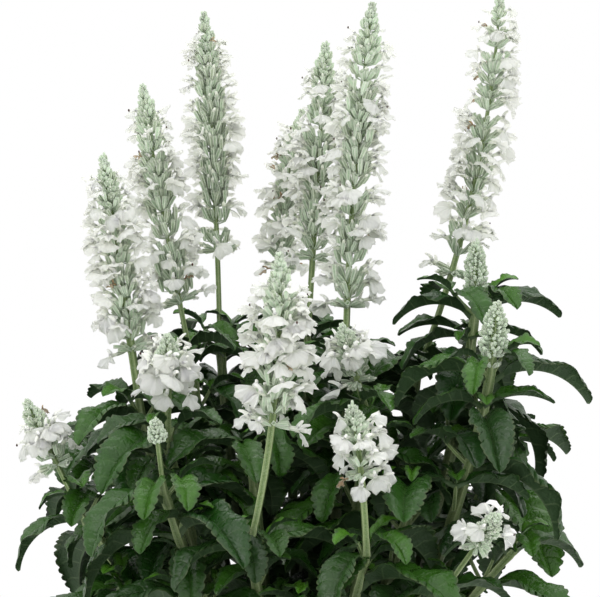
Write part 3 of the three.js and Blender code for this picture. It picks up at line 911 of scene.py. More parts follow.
# Where a leaf is tried for room, along it from its foot and across it
PROBE_SHARES = np.linspace(0.32, 1, 6)
PROBE_SPANS = np.array([-0.8, -0.4, 0, 0.4, 0.8])
PROBE_FOOT = 0.1
PROBE_ROUND = 0.8

MOUND_RADIUS = 122
RIM_REACH = 76
MOUND_SPREAD = 0.8
GUARD_FOOT = 90
GUARD_STEP = 1.5
GUARD_SIDES = 360
STALK_STEPS = 40
HEAD_STEPS = 20
HEAD_TURN = 60
HEAD_ROOM = 0.8


class Crowd:
    """The cells near all the leaves, stems and heads, to find room for more leaves."""

    def __init__(self):
        self.filled = np.zeros((CROWD_CELLS, CROWD_CELLS, CROWD_CELLS), bool)
        span = np.arange(-CROWD_REACH, CROWD_REACH + 1)
        near = np.stack(np.meshgrid(span, span, span, indexing='ij'), axis=-1).reshape(-1, 3)
        self.near = near[np.linalg.norm(near, axis=1) * CROWD_CELL <= ROOM]

    def cells(self, points):
        middle = np.array([CROWD_CELLS / 2, CROWD_CELLS / 2, 0])
        last = CROWD_CELLS - 1 - CROWD_REACH
        return np.clip(points / CROWD_CELL + middle, CROWD_REACH, last).astype(int)

    def add(self, points):
        around = (self.cells(points)[:, None] + self.near[None]).reshape(-1, 3)
        self.filled[tuple(around.T)] = True

    def clear_of(self, points):
        return not self.filled[tuple(self.cells(points).T)].any()


def leaf_points(leaf):
    """A few points of a leaf's blade, without its foot."""
    share = PROBE_SHARES[:, None]
    spans = PROBE_SPANS[None]
    centre, side, face = leaf_frame(stacked([leaf]), share[None] + 0 * spans[None])
    half = leaf['half_width'] * np.sin(math.pi * (share - PROBE_FOOT) / (1 + PROBE_FOOT)) ** PROBE_ROUND
    points = (centre + side * (half * spans * math.cos(leaf['fold']))[None, ..., None]
              + face * (half * np.abs(spans) * math.sin(leaf['fold']))[None, ..., None])
    return points.reshape(-1, 3)


def fresh_leaf(piece, root, heading, rise, length, youth):
    """A leaf that isn't in the solids, with its own draws."""
    vary = lambda feature, order: FRESH_VARIES[feature] * draw(piece, order)
    length = length * (1 + vary('length', 1))
    return dict(
        root=root,
        heading=heading + math.radians(vary('heading', 2)),
        rise=math.radians(rise + vary('rise', 3)),
        bend=math.radians(FRESH_BEND + vary('bend', 4)),
        roll=math.radians(vary('roll', 5)),
        sweep=vary('sweep', 6),
        fold=math.radians(LEAF_FOLD + vary('fold', 7)),
        length=length,
        half_width=length * FRESH_ASPECT * (1 + vary('width', 8)) / 2,
        youth=np.clip(youth + vary('youth', 9), 0, 1),
        tone=max(0, draw(piece, 10)) ** 2,
        piece=piece,
    )


def find_room(leaf, crowd):
    """The leaf turned and bent clear of the others, or nothing if there is no room."""
    for turn, droop in FRESH_TRIES:
        attempt = bent(leaf, turn, droop)
        points = leaf_points(attempt)
        radius = np.hypot(points[:, 0], points[:, 1])
        limit = np.clip(RIM_REACH + MOUND_SPREAD * (points[:, 2] - POT_HEIGHT), 0, MOUND_RADIUS)
        clear_of_pot = (points[:, 2] > POT_HEIGHT + ROOM) | (radius > RIM_REACH)
        if (radius < limit).all() and clear_of_pot.all() and crowd.clear_of(points):
            crowd.add(points)
            return [attempt]
    return []


def side_shoot(shoot, index, pair, twin, crowd):
    """A short shoot in the axil of a leaf: its stalk, a pair of leaves and two younger ones."""
    axil = leaf_of(shoot, index, pair, twin)
    piece = SIDE_DRAWS + index * 60 + pair * 14 + twin * 7
    vary = lambda feature, order: SIDE_SHOOT_VARIES[feature] * draw(piece, order)
    length = SIDE_SHOOT_LENGTH + vary('length', 1) + SIDE_SHOOT_GAIN * pair
    rise = math.radians(SIDE_SHOOT_RISE + vary('rise', 2))
    heading = axil['heading'] + math.radians(vary('heading', 3))
    run = vector(math.cos(heading) * math.cos(rise), math.sin(heading) * math.cos(rise), math.sin(rise))
    foot = axil['root'] + np.array([0, 0, 1.0])
    top = foot + run * length
    found = []
    for number, (turn, leaf_rise, leaf_length, gain, youth) in enumerate(SIDE_LEAVES):
        leaf = fresh_leaf(piece + number + 1, top, heading + math.radians(turn), leaf_rise,
                          leaf_length + gain * pair, youth - YOUTH_LOST * pair)
        found += find_room(leaf, crowd)
    return (foot, (foot + top) / 2 + np.array([0, 0, -SIDE_SHOOT_SAG]), top), found


def growing_tip(shoot, index, crowd):
    """Young leaves in pairs at the top of a stem that has no flowers."""
    top = curve_points(stem_curve(shoot), 1.0)
    found = []
    for pair, (leaf_rise, leaf_length, youth) in enumerate(TIP_PAIRS):
        for twin in (0, 1):
            heading = math.radians(shoot['turn'] + 90 * (pair + 1) + 180 * twin)
            piece = TIP_DRAWS + index * 10 + pair * 2 + twin
            found += find_room(fresh_leaf(piece, top, heading, leaf_rise, leaf_length, youth), crowd)
    return found


def lower_leaves(shoot, index, crowd):
    """More pairs of leaves down the stem, below those of the solids."""
    curve = stem_curve(shoot)
    length = curve_length(curve)
    found = []
    pair = shoot['pairs']
    drop = PAIR_DROP[pair - 1] + LOWER_STEP
    while drop < length - ROOT_DEPTH:
        root = curve_points(curve, 1 - drop / length)
        if root[2] > LOWEST_LEAF:
            for twin in (0, 1):
                heading = math.radians(shoot['turn'] + 90 * pair + 180 * twin)
                piece = LOWER_DRAWS + index * 20 + pair * 2 + twin
                leaf_length = LOWER_LENGTH - LOWER_SHORTENS * pair
                leaf = fresh_leaf(piece, root, heading, LOWER_RISE, leaf_length, 0.0)
                found += find_room(leaf, crowd)
        pair += 1
        drop += LOWER_STEP
    return found


def crowd_of_solids(foliage):
    """The room taken by the pot's rim and by the stems, heads and leaves of the solids."""
    crowd = Crowd()
    heights = np.arange(GUARD_FOOT, POT_HEIGHT + 1, GUARD_STEP)
    turn, height = np.meshgrid(np.linspace(0, 2 * math.pi, GUARD_SIDES), heights)
    crowd.add(vector(RIM_RADIUS * np.cos(turn), RIM_RADIUS * np.sin(turn), height).reshape(-1, 3))
    for stem, leaves in zip(SHOOTS, foliage):
        crowd.add(curve_points(stem_curve(stem), np.linspace(0, 1, STALK_STEPS)))
        if stem['head']:
            head = stem['head']
            curve = head_curve(stem)
            crowd.add(curve_points(curve, np.linspace(0.1, 1, STALK_STEPS)))
            for turn in range(0, 360, HEAD_TURN):
                base, out, _, _ = head_frame(curve, head, np.linspace(0, 1, HEAD_STEPS), math.radians(turn))
                crowd.add(base + out * HEAD_ROOM * head['girth'])
        for leaf in leaves:
            crowd.add(leaf_points(leaf))
    return crowd


def grow_fresh_foliage(foliage):
    """For every stem, the stalks of its side shoots and its fresh leaves."""
    crowd = crowd_of_solids(foliage)
    stalks = [[] for _ in SHOOTS]
    fresh = [[] for _ in SHOOTS]
    for index, stem in enumerate(SHOOTS):
        for pair in range(stem['pairs']):
            for twin in (0, 1):
                stalk, leaves = side_shoot(stem, index, pair, twin, crowd)
                if leaves:
                    stalks[index].append(stalk)
                    fresh[index] += leaves
    for index, stem in enumerate(SHOOTS):
        if not stem['head']:
            fresh[index] += growing_tip(stem, index, crowd)
        fresh[index] += lower_leaves(stem, index, crowd)
    return stalks, fresh


# Flower heads

CALYX_SIDES = 8
CALYX_LENGTH = 5.7
FULL_GIRTH = 8.5
BUD_LENGTH = 1.6
BUD_GROWTH = 20
CALYX_SLIMNESS = 0.148
BUD_PLUMPER = 0.2
CALYX_SLANT = 0.38
CONE_LENGTH = 11
SPIKE_TO_CONE = 4.5
NECK = 3.2


def head_curve(shoot):
    stem = stem_curve(shoot)
    start = stem[2] + curve_tangents(stem, 1.0) * GAP
    tip = np.array(shoot['head']['tip'], float)
    return start, (start + tip) / 2 + np.array([shoot['head']['bow'], 0, 0]), tip


# Whorls of calyces: places, steps as shares of a calyx, counts, tilts and how all of them vary
FIRST_WHORL = 0.4
LAST_WHORL = 0.6
LOOSE_FADES = (4, 16)
WHORL_STEP = 0.62
WHORL_LOOSENS = 0.5
WHORL_UNEVEN = (0.85, 1.15)
GAP_CHANCE = 0.18
GAP_STEP = 0.4
GAP_FADES = (15, 30)
FOOT_WHORLS = (1, 3.5)
FOOT_SPREADS = 0.25
COLUMN_UNEVEN = (0.88, 1.1)
FEWEST = 5
MORE = 8
TILT = 15
TILT_OF_BUDS = 28
TILT_IF_LOOSE = 24
TILT_OF_FOOT = 56
TILT_VARIES = 20
WHORL_TURN = 2.4
START_VARIES = 0.3
TURN_VARIES = 0.35
PLACE_VARIES = 0.3
LOOSE_STEADIES = 0.15
SIZE_UNEVEN = (0.78, 1.15)
REACH_UNEVEN = (0.86, 1.12)
BUDDED_SIZE = 0.36
TIP_BUD = dict(share=0.995, turn=0.0, tilt=0.05, size=BUD_LENGTH, radius=0.5, reach=0.3)
LOW_BUDS = 9
LOW_BUD = dict(tilt=0.75, size=2.9, radius=0.85, reach=3.8)


def calyces_of(head, length, rng):
    """The calyces of a head in whorls, which shrink into a cone of buds at the tip. Each has its share
    of the spike, turn, tilt, length and radius, and the reach of its tip from the axis."""
    spike = length * (1 - head['bare'])
    in_bud = head['bloom'] == 0
    cone = min(CONE_LENGTH, spike / SPIKE_TO_CONE)
    found = []
    place = FIRST_WHORL
    whorl = 0
    while place < spike - LAST_WHORL:
        left = spike - place
        filled = 1 - math.exp(-left / cone)
        grown = (BUDDED_SIZE if in_bud else 1) * (1 - math.exp(-left / BUD_GROWTH))
        full_size = CALYX_LENGTH * (0.5 + 0.5 * head['girth'] / FULL_GIRTH)
        size = BUD_LENGTH + (full_size - BUD_LENGTH) * grown
        loose = head['loose'] * smooth(left, *LOOSE_FADES)
        step = size * (WHORL_STEP + WHORL_LOOSENS * loose) * rng.uniform(*WHORL_UNEVEN)
        if rng.uniform() < GAP_CHANCE * smooth(left, *GAP_FADES):
            step += GAP_STEP * size
        foot = 0 if in_bud else 1 - smooth(place, *FOOT_WHORLS)
        column = head['plump'] * head['girth'] * filled * (1 + FOOT_SPREADS * foot)
        column *= rng.uniform(*COLUMN_UNEVEN)
        count = round(FEWEST + MORE * filled)
        tilt = TILT + TILT_OF_BUDS * (1 - grown) + TILT_IF_LOOSE * loose + TILT_OF_FOOT * foot
        start = WHORL_TURN * whorl + START_VARIES * rng.uniform(-1, 1)
        for k in range(count):
            turn = 2 * math.pi * (k + TURN_VARIES * rng.uniform(-1, 1)) / count + start
            along = place + (PLACE_VARIES - LOOSE_STEADIES * loose) * step * rng.uniform(-1, 1)
            own = size * rng.uniform(*SIZE_UNEVEN)
            plump = CALYX_SLIMNESS + BUD_PLUMPER * (1 - grown)
            found.append(dict(
                share=np.clip(along, 0, spike - 0.5) / spike,
                turn=turn,
                tilt=math.radians(tilt + TILT_VARIES * rng.uniform(-1, 1)),
                size=own,
                radius=own * plump,
                reach=column * rng.uniform(*REACH_UNEVEN),
            ))
        if head['neck'] and place < head['neck'] * spike <= place + step:
            place += NECK
        place += step
        whorl += 1
    found.append(TIP_BUD)
    if head['low_whorl']:
        share = (head['low_whorl'] - head['bare']) / (1 - head['bare'])
        for k in range(LOW_BUDS):
            along = share + 0.01 * rng.uniform(-1, 1)
            turn = 2 * math.pi * (k + 0.3 * rng.uniform(-1, 1)) / LOW_BUDS
            found.append(dict(LOW_BUD, share=along, turn=turn))
    return {key: np.array([one[key] for one in found]) for key in found[0]}


def head_frame(curve, head, share, turn):
    """The place on the axis and the directions out, sideways and along it."""
    along = head['bare'] + (1 - head['bare']) * share
    tangent = curve_tangents(curve, along)
    out, side = across(tangent, turn)
    return curve_points(curve, along), out, side, tangent


def axis_radius(head, share):
    return head['stalk'] * (1 - STALK_TAPER * np.clip(share, 0, 1))


# Rings of a calyx: place from its foot and radius, as shares of its length and radius
CALYX_OPEN = [(0, 0.55), (0.4, 1.0), (1.0, 1.1), (0.84, 0.5)]
CALYX_BUD = [(0, 0.6), (0.35, 1.0), (0.76, 0.9), (1.0, 0.22)]
CALYX_RIBS = 4
RIB_HEIGHT = 0.17
PEDICEL_RADIUS = 0.32
MOUTH_DEPTH = 0.55
BUD_POINT = 1.04
PEDICEL_DROP = 1.2
AXIS_SKIN = 0.7
PEDICEL_ROOT = 0.6
PALE_GAIN = 0.7
PALE_RISES = (0.3, 0.9)


def add_calyces(skin, curve, head, found, opened):
    """Ribbed calyces on short stalks. Returns where their mouths are and which way they face."""
    share, size = found['share'], found['size']
    base, out, side, tangent = head_frame(curve, head, share, found['turn'])
    aslant = CALYX_SLANT * draw(np.arange(len(share)) + 1.0, 4)
    axis = unit(tangent * np.cos(found['tilt'])[:, None] + out * np.sin(found['tilt'])[:, None]
                + side * aslant[:, None])
    side = unit(np.cross(out - 0.5 * tangent, axis))
    over = np.cross(axis, side)
    skin_of_axis = AXIS_SKIN * axis_radius(head, share)
    stand = np.maximum(found['reach'] - size * np.sin(found['tilt']), skin_of_axis)
    foot = base + out * stand[:, None]
    stations = np.where(opened[:, None, None], np.array(CALYX_OPEN)[None], np.array(CALYX_BUD)[None])
    along = stations[..., 0] * size[:, None]
    around = np.arange(CALYX_SIDES) / CALYX_SIDES
    ribbed = 1 + RIB_HEIGHT * np.cos(2 * math.pi * CALYX_RIBS * around)
    ring = (stations[..., 1] * found['radius'][:, None])[..., None] * ribbed
    centre = foot[:, None] + axis[:, None] * along[..., None]
    drop = PEDICEL_DROP * (size / CALYX_LENGTH)[:, None]
    root = base + out * skin_of_axis[:, None] * PEDICEL_ROOT - tangent * drop
    centre = np.concatenate([root[:, None], centre], axis=1)
    ring = np.concatenate([0 * ring[:, :1] + PEDICEL_RADIUS * found['radius'][:, None, None], ring], axis=1)
    rings = rings_round(centre, side[:, None], over[:, None], ring, ring_turns(CALYX_SIDES))
    tips = foot + axis * (np.where(opened, MOUTH_DEPTH, BUD_POINT) * size)[:, None]
    skin.add_lofts(rings, tips, {
        'calyx_along': np.concatenate([0 * along[:, :1], stations[..., 0]], axis=1)[:, :, None],
        'calyx_turn': around[None, None],
        'calyx_tone': np.clip(draw(np.arange(len(share)) + 3.0, 2), 0, 1)[:, None, None],
        'calyx_youth': np.clip(head['pale'] + PALE_GAIN * smooth(share, *PALE_RISES), 0, 1)[:, None, None],
    })
    return foot + axis * size[:, None], axis


# Flowers

# The lower lip of a flower, with its lobes as shares of its reach and of half its span
LIP_ROWS = [0.1, 0.38, 0.64, 0.85, 1.0]
LIP_COLUMNS = 17
LIP_REACH = 8.2
LIP_FAN = 76
LIP_FOOT = 0.4
PETAL_THICKNESS = 0.2
MIDDLE_LOBE = 0.57
MIDDLE_CORNER = 0.24
NOTCH_WIDTH = 0.13
SIDE_LOBE = 0.785
SIDE_LOBE_WIDTH = 0.215
SIDE_LOBE_LENGTH = 0.84
INNER_CORNER = 0.1
OUTER_CORNER = 0.42
SCALLOP = 0.05
SCALLOP_WAVES = 15

# Height of every ruffle on the lip, its waves across and its slant
RUFFLES = [(0.75, 11, 0), (0.5, 15, 3)]

# How the flowers vary, from the lowest draw to the highest or as far either way
YAW = 24
ROLL = 34
NOTCH_DEPTH = (0.02, 0.16)
LIP_UNEVEN = (0.7, 1.15)
FAN_UNEVEN = (0.85, 1.1)
LIP_START = (-46, 26)
LIP_BEND = (0.5, 7)
LIP_DOME = (0.0, 0.07)
LIP_CUP = (0.0, 0.2)
HOOD_LENGTH = (3.6, 5.6)
HOOD_START = (50, 88)
HOOD_BEND = (8, 20)
ANY_WAVE = (0, 6)
CUP_RISES = (0.5, 1)

# Hood, tube, flower buds and anthers
PETAL_SIDES = 6
FEW_RIBS = 40
HOOD_STEPS = [0, 0.35, 0.7, 1.0]
HOOD_RADIUS = 0.95
HOOD_TAPER = 0.4
HOOD_WIDTH = 0.85
HOOD_BACK = 0.5
HOOD_TIP = 1.12
TUBE_LENGTH = 3.2
TUBE_LEAN = 1.3
TUBE_ROOT = 2
TUBE_STEPS = [0, 0.5, 1.1]
TUBE_RADII = [0.6, 0.75, 0.85, 1.15]
WITHERED_SHRINKS = 0.45
WITHERED_NARROWS = 0.6
FLOWER_BUD_STEPS = [-1.0, 0, 0.8, 1.5]
FLOWER_BUD_RADII = [0.45, 0.7, 0.74, 0.38]
FLOWER_BUD_TIP = 1.85
FLOWER_BUD_UNEVEN = (0.75, 1.15)
BUD_SHOWS = 0.3
ANTHER_SHARE = 0.08
ANTHER_STEPS = [-0.5, 0, 0.5]
ANTHER_RADII = [0.25, 0.42, 0.25]
ANTHER_TIP = 0.62
ANTHER_UNEVEN = (0.7, 1.1)


def bent_path(distance, start, bend):
    """Onward and upward distances along an arc that starts at an angle and bends down."""
    angle = start - bend * distance
    return (np.sin(start) - np.sin(angle)) / bend, (np.cos(angle) - np.cos(start)) / bend


class Flowers:
    """The open flowers of a head, which share their throats, directions, sizes and draws."""

    def __init__(self, mouths, axis, out, side, up, size, withered, rng):
        self.rng = rng
        self.count = len(mouths)
        yaw = np.radians(rng.uniform(-YAW, YAW, self.count))[:, None]
        roll = np.radians(rng.uniform(-ROLL, ROLL, self.count))[:, None]
        level = side * np.cos(yaw) - out * np.sin(yaw)
        self.ahead = out * np.cos(yaw) + side * np.sin(yaw)
        self.aside = level * np.cos(roll) + up * np.sin(roll)
        self.above = up * np.cos(roll) - level * np.sin(roll)
        self.withered = withered[:, None, None]
        self.marks = {'petal_tone': self.some(0, 1), 'petal_withered': self.withered}
        self.scale = size[:, None, None] * (1 - WITHERED_SHRINKS * self.withered)
        self.mouths, self.axis, self.side = mouths, axis, side
        self.lean = unit(axis + TUBE_LEAN * out)
        self.throats = mouths + self.lean * (TUBE_LENGTH * self.scale[:, 0])

    def some(self, lowest, highest):
        """One draw for every flower."""
        return self.rng.uniform(lowest, highest, self.count)[:, None, None]

    def at(self, onward, sideways, upward):
        """Places at distances from the throats."""
        return (self.throats[:, None, None] + self.ahead[:, None, None] * onward[..., None]
                + self.aside[:, None, None] * sideways[..., None]
                + self.above[:, None, None] * upward[..., None])

    def add_lips(self, skin, droop):
        """Broad crinkled lower lips: a fan of three lobes, the middle one notched."""
        rows = np.array(LIP_ROWS)[:, None]
        spans = np.linspace(-1, 1, LIP_COLUMNS)[None]
        reach = np.abs(spans)
        notch = self.some(*NOTCH_DEPTH) * np.exp(-(spans / NOTCH_WIDTH) ** 2)
        middle = 1 - notch - MIDDLE_CORNER * (reach / MIDDLE_LOBE) ** 4
        corner = np.where(reach < SIDE_LOBE, INNER_CORNER, OUTER_CORNER)
        beside = SIDE_LOBE_LENGTH - corner * ((reach - SIDE_LOBE) / SIDE_LOBE_WIDTH) ** 2
        lobes = np.where(reach < MIDDLE_LOBE, middle, beside)
        scallops = SCALLOP * np.sin(SCALLOP_WAVES * spans + self.some(*ANY_WAVE))
        distance = LIP_REACH * rows * (lobes + scallops * rows ** 2) * self.some(*LIP_UNEVEN)
        fan = np.radians(LIP_FAN) * spans * self.some(*FAN_UNEVEN)
        sideways = distance * np.sin(fan)
        run = distance * np.cos(fan)
        start = np.radians(self.some(*LIP_START) - droop)
        bend = np.radians(self.some(*LIP_BEND))
        onward, upward = bent_path(run, start, bend)
        slope = start - bend * run
        dome = self.some(*LIP_DOME) * sideways ** 2
        dome = dome + self.some(*LIP_CUP) * distance * smooth(reach, *CUP_RISES)
        ruffle = rows ** 1.5 * sum(height * np.sin(waves * spans + slant * rows + self.some(*ANY_WAVE))
                                   for height, waves, slant in RUFFLES)
        relief = ruffle - dome
        wilt = 1 - WITHERED_NARROWS * self.withered
        top = self.at(self.scale * (onward - relief * np.sin(slope)), self.scale * sideways * wilt,
                      self.scale * (upward + relief * np.cos(slope) - LIP_FOOT))
        skin.add_sheets(top[:, :, ::-1], PETAL_THICKNESS, dict(
            self.marks, petal_reach=rows[None] + 0 * spans, petal_across=(spans[:, ::-1] / 2)[None]))

    def add_hoods(self, skin):
        """Narrow hoods that rise and arch forward. Returns their ends."""
        steps = np.array(HOOD_STEPS)[:, None]
        around = ring_turns(PETAL_SIDES)[None]
        length = self.some(*HOOD_LENGTH)
        start = np.radians(self.some(*HOOD_START))
        bend = np.radians(self.some(*HOOD_BEND))
        onward, upward = bent_path(length * steps, start, bend)
        slope = start - bend * length * steps
        radius = HOOD_RADIUS - HOOD_TAPER * steps ** 2
        wide = HOOD_WIDTH * radius * np.cos(around)
        tall = radius * np.sin(around)
        rings = self.at(self.scale * (onward - tall * np.sin(slope) - HOOD_BACK), -self.scale * wide,
                        self.scale * (upward + tall * np.cos(slope)))
        end_on, end_up = bent_path(length * HOOD_TIP, start, bend)
        ends = self.at(self.scale * (end_on - HOOD_BACK), 0 * self.scale, self.scale * end_up)[:, 0, 0]
        skin.add_lofts(rings, ends, dict(
            self.marks, petal_reach=steps * 0.6 + 0.3, petal_across=around / FEW_RIBS))
        return ends

    def add_tubes(self, skin):
        """Tubes from inside the calyces to the throats."""
        stretch = self.lean[:, None] * self.scale * np.array(TUBE_STEPS)[:, None] * TUBE_LENGTH
        roots = self.mouths - TUBE_ROOT * self.axis * self.scale[:, 0]
        centres = np.concatenate([roots[:, None], self.mouths[:, None] + stretch], axis=1)
        radius = np.array(TUBE_RADII)[None, :, None] * self.scale
        over = np.cross(self.lean, self.side)
        around = ring_turns(PETAL_SIDES)
        rings = rings_round(centres, self.side[:, None], over[:, None], radius, around)
        skin.add_lofts(rings, None, dict(
            self.marks, petal_reach=0.1, petal_across=around[None, None] / FEW_RIBS))


def add_flower_buds(skin, mouths, axis, side, size, rng):
    """Cream flower buds that poke out of their calyces."""
    count = len(mouths)
    around = ring_turns(PETAL_SIDES)
    scale = (size * rng.uniform(*FLOWER_BUD_UNEVEN, count))[:, None, None]
    centres = mouths[:, None] + axis[:, None] * (scale * np.array(FLOWER_BUD_STEPS)[:, None])
    radius = scale * np.array(FLOWER_BUD_RADII)[:, None]
    over = np.cross(axis, side)
    rings = rings_round(centres, side[:, None], over[:, None], radius, around)
    skin.add_lofts(rings, mouths + axis * FLOWER_BUD_TIP * scale[:, 0], {
        'petal_reach': 0.04, 'petal_across': around[None, None] / FEW_RIBS,
        'petal_tone': rng.uniform(0, 1, count)[:, None, None], 'petal_withered': 0})


def add_anthers(skin, places, rng):
    """Dark dry anthers, as small beads."""
    steps = np.array(ANTHER_STEPS)[:, None]
    radius = np.array(ANTHER_RADII)[:, None]
    around = ring_turns(PETAL_SIDES)
    ring = vector(radius * np.cos(around), radius * np.sin(around), steps)
    size = rng.uniform(*ANTHER_UNEVEN, len(places))
    rings = places[:, None, None] + ring[None] * size[:, None, None, None]
    tips = places + np.array([0, 0, ANTHER_TIP]) * size[:, None]
    skin.add_lofts(rings, tips, {})


# Where the flowers open, and how many of those that face the front
OPEN_FADES = (0.12, 0.04)
OPEN_TO = 0.86
FRONT_FROM = (0.35, 0.8)
TURN_WEIGHT = 6
FLOWERS_SHRINK = 0.3
SHRINK_FROM = (0.4, 0.85)

# The stalk of a head, from just inside the leafy stem
HEAD_DRAWS = 100
HEAD_STALK_RINGS = 16
STALK_SINKS = 1.5
STALK_END = 0.99
STALK_BLENDS = 6
STALK_TAPER = 0.66


def flowers_of(head, found, length, out, rng):
    """Which calyces bear an open flower: some by chance, and those nearest to the solids' flowers."""
    share, turn = found['share'], found['turn']
    below, above = OPEN_FADES
    open_chance = head['bloom'] * (1 - smooth(share, head['bloom_top'] - below, head['bloom_top'] + above))
    faces_front = smooth(-out[:, 1], *FRONT_FROM)
    open_chance *= 1 - (1 - head['front']) * faces_front
    flowers = rng.uniform(0, 1, len(share)) < open_chance
    for number in range(head['flowers']):
        spot = FIRST_FLOWER + FLOWERING_SHARE * (number + 0.5) / head['flowers']
        spiral = math.radians(SPIRAL_START + SPIRAL_TURN * number)
        distance = np.abs(share - spot) * length / TURN_WEIGHT + 1 - np.cos(turn - spiral)
        flowers[np.argmin(distance)] = True
    return flowers


def make_head(shoot, index):
    """A flower head's pieces: its stalk, calyces, corollas with flower buds, and anthers."""
    head = shoot['head']
    node = f'flower_head_{index + 1:02d}'
    name = f'head_{index + 1:02d}'
    rng = np.random.default_rng(HEAD_DRAWS + index)
    curve = head_curve(shoot)
    length = curve_length(curve)

    stalk = Skin(['stem_turn', 'stem_foot_age_and_shade'])
    shares = np.linspace(-STALK_SINKS / length, STALK_END, HEAD_STALK_RINGS)
    radii = axis_radius(head, (shares - head['bare']) / (1 - head['bare']))
    radii = radii + (STEM_TOP_RADIUS - head['stalk']) * (1 - smooth(shares * length, 0, STALK_BLENDS))
    rings, around = stalk_rings(curve, shares, radii, math.radians(shoot['turn']))
    stalk.add_lofts(rings[None], None, {'stem_turn': around, 'stem_foot_age_and_shade': 0})
    make_piece(f'{name}_stalk', stalk, STEM, node)

    found = calyces_of(head, length, rng)
    share = found['share']
    _, out, side, tangent = head_frame(curve, head, share, found['turn'])
    flowers = flowers_of(head, found, length, out, rng)
    opened = (share < OPEN_TO) & (head['bloom'] > 0)

    felt = Skin(['calyx_along', 'calyx_turn', 'calyx_tone', 'calyx_youth'])
    mouths, axis = add_calyces(felt, curve, head, found, opened)
    make_piece(f'{name}_calyces', felt, CALYX, node)

    if flowers.any():
        petals = Skin(['petal_reach', 'petal_across', 'petal_tone', 'petal_withered'])
        withered = (rng.uniform(0, 1, len(share)) < head['withered']).astype(float)[flowers]
        size = head['size'] * (1 - FLOWERS_SHRINK * smooth(share[flowers], *SHRINK_FROM))
        blooms = Flowers(mouths[flowers], axis[flowers], out[flowers], side[flowers], tangent[flowers],
                         size, withered, rng)
        blooms.add_lips(petals, head['droop'])
        hood_ends = blooms.add_hoods(petals)
        blooms.add_tubes(petals)
        budded = ~flowers & opened & (rng.uniform(0, 1, len(share)) < BUD_SHOWS)
        bud_size = found['size'][budded] / CALYX_LENGTH
        add_flower_buds(petals, mouths[budded], axis[budded], side[budded], bud_size, rng)
        make_piece(f'{name}_corollas', petals, PETAL, node)
        specks = rng.uniform(0, 1, len(hood_ends)) < ANTHER_SHARE
        if specks.any():
            anthers = Skin([])
            add_anthers(anthers, hood_ends[specks], rng)
            make_piece(f'{name}_anthers', anthers, ANTHER, node)


# The plant

def make_stem(shoot, index, stalks, leaves):
    """A leafy stem's two pieces: the stem with its side shoots' stalks, and all its leaves."""
    node = f'leafy_stem_{index + 1:02d}'
    stem = Skin(['stem_turn', 'stem_foot_age_and_shade'])
    add_stem(stem, shoot)
    shares = np.linspace(0, 1, SIDE_SHOOT_RINGS)
    radii = SIDE_SHOOT_RADIUS * (1 - SIDE_SHOOT_TAPER * shares)
    for stalk in stalks:
        rings, around = stalk_rings(stalk, shares, radii, SIDE_SHOOT_TURN, SIDE_SHOOT_SIDES)
        stem.add_lofts(rings[None], None, {'stem_turn': around, 'stem_foot_age_and_shade': 0})
    make_piece(f'stem_{index + 1:02d}', stem, STEM, node)
    blades = Skin(['leaf_row', 'leaf_across', 'leaf_side', 'leaf_youth', 'leaf_tone'])
    add_leaves(blades, leaves)
    make_piece(f'leaves_{index + 1:02d}', blades, LEAF, node, 60)


# Pot and soil

POT_SIDES = 96
LIP_ROUND = 0.9
BAND_ROUND = 0.5
BAND_LIFT = 0.9
INNER_ROUND = 2
WALL_SHARES = (0.2, 0.4, 0.6, 0.8, 0.99)
INNER_HEIGHTS = (100, 70, 40, 10)
DRAIN_SIDES = 24
DRAIN_HEIGHT = FLOOR + 1.5 * DRAIN_RADIUS
DRILL_REACH = 2 * WALL

SOIL_RINGS = 30
SOIL_ROUND = 2.2
SOIL_SINKS = 1.2
CRUMBLE = 0.5
FINE_CRUMBLE = 0.35

# Bark chips and pale grains: their rings, as shares of their size
SOIL_DRAWS = 7
SOIL_CRUMBS = 240
PALE_SHARE = 0.16
CRUMB_SIZE = (0.9, 2.6)
CRUMB_UNEVEN = (0.7, 1.2)
CRUMB_STEPS = [-0.85, -0.3, 0.35, 0.85]
CRUMB_RADII = [0.35, 0.62, 0.66, 0.3]
CRUMB_SIDES = 6
CRUMB_SHOWS = 0.25


def wall_radius(z):
    wall_top = RIM_RADIUS - BAND_STEP
    return FOOT_RADIUS + (wall_top - FOOT_RADIUS) * z / POT_HEIGHT


def rounded(centre, radius, start, end, steps=5):
    """Points of an arc in a profile, from one angle to another."""
    angles = np.radians(np.linspace(start, end, steps))
    return [(centre[0] + radius * math.cos(a), centre[1] + radius * math.sin(a)) for a in angles]


def add_turned(skin, profile, marks):
    """A closed skin turned round the upright axis. The profile starts and ends on the axis."""
    radii, heights = np.array(profile[1:-1]).T[:, :, None]
    turns = ring_turns(POT_SIDES)
    rings = vector(radii * np.cos(turns), radii * np.sin(turns), heights)
    size = rings.shape[0] * POT_SIDES
    ends = np.array([[0, 0, profile[0][1]], [0, 0, profile[-1][1]]], float)
    points = np.concatenate([rings.reshape(-1, 3), ends])
    quads = loft_faces(len(radii), POT_SIDES, True)[0]
    first = np.arange(POT_SIDES)
    last = first + size - POT_SIDES
    foot = np.stack([np.roll(first, -1), first, 0 * first + size], axis=-1)
    top = np.stack([last, np.roll(last, -1), 0 * last + size + 1], axis=-1)
    skin.add(points[None], [quads, np.concatenate([foot, top])], marks)


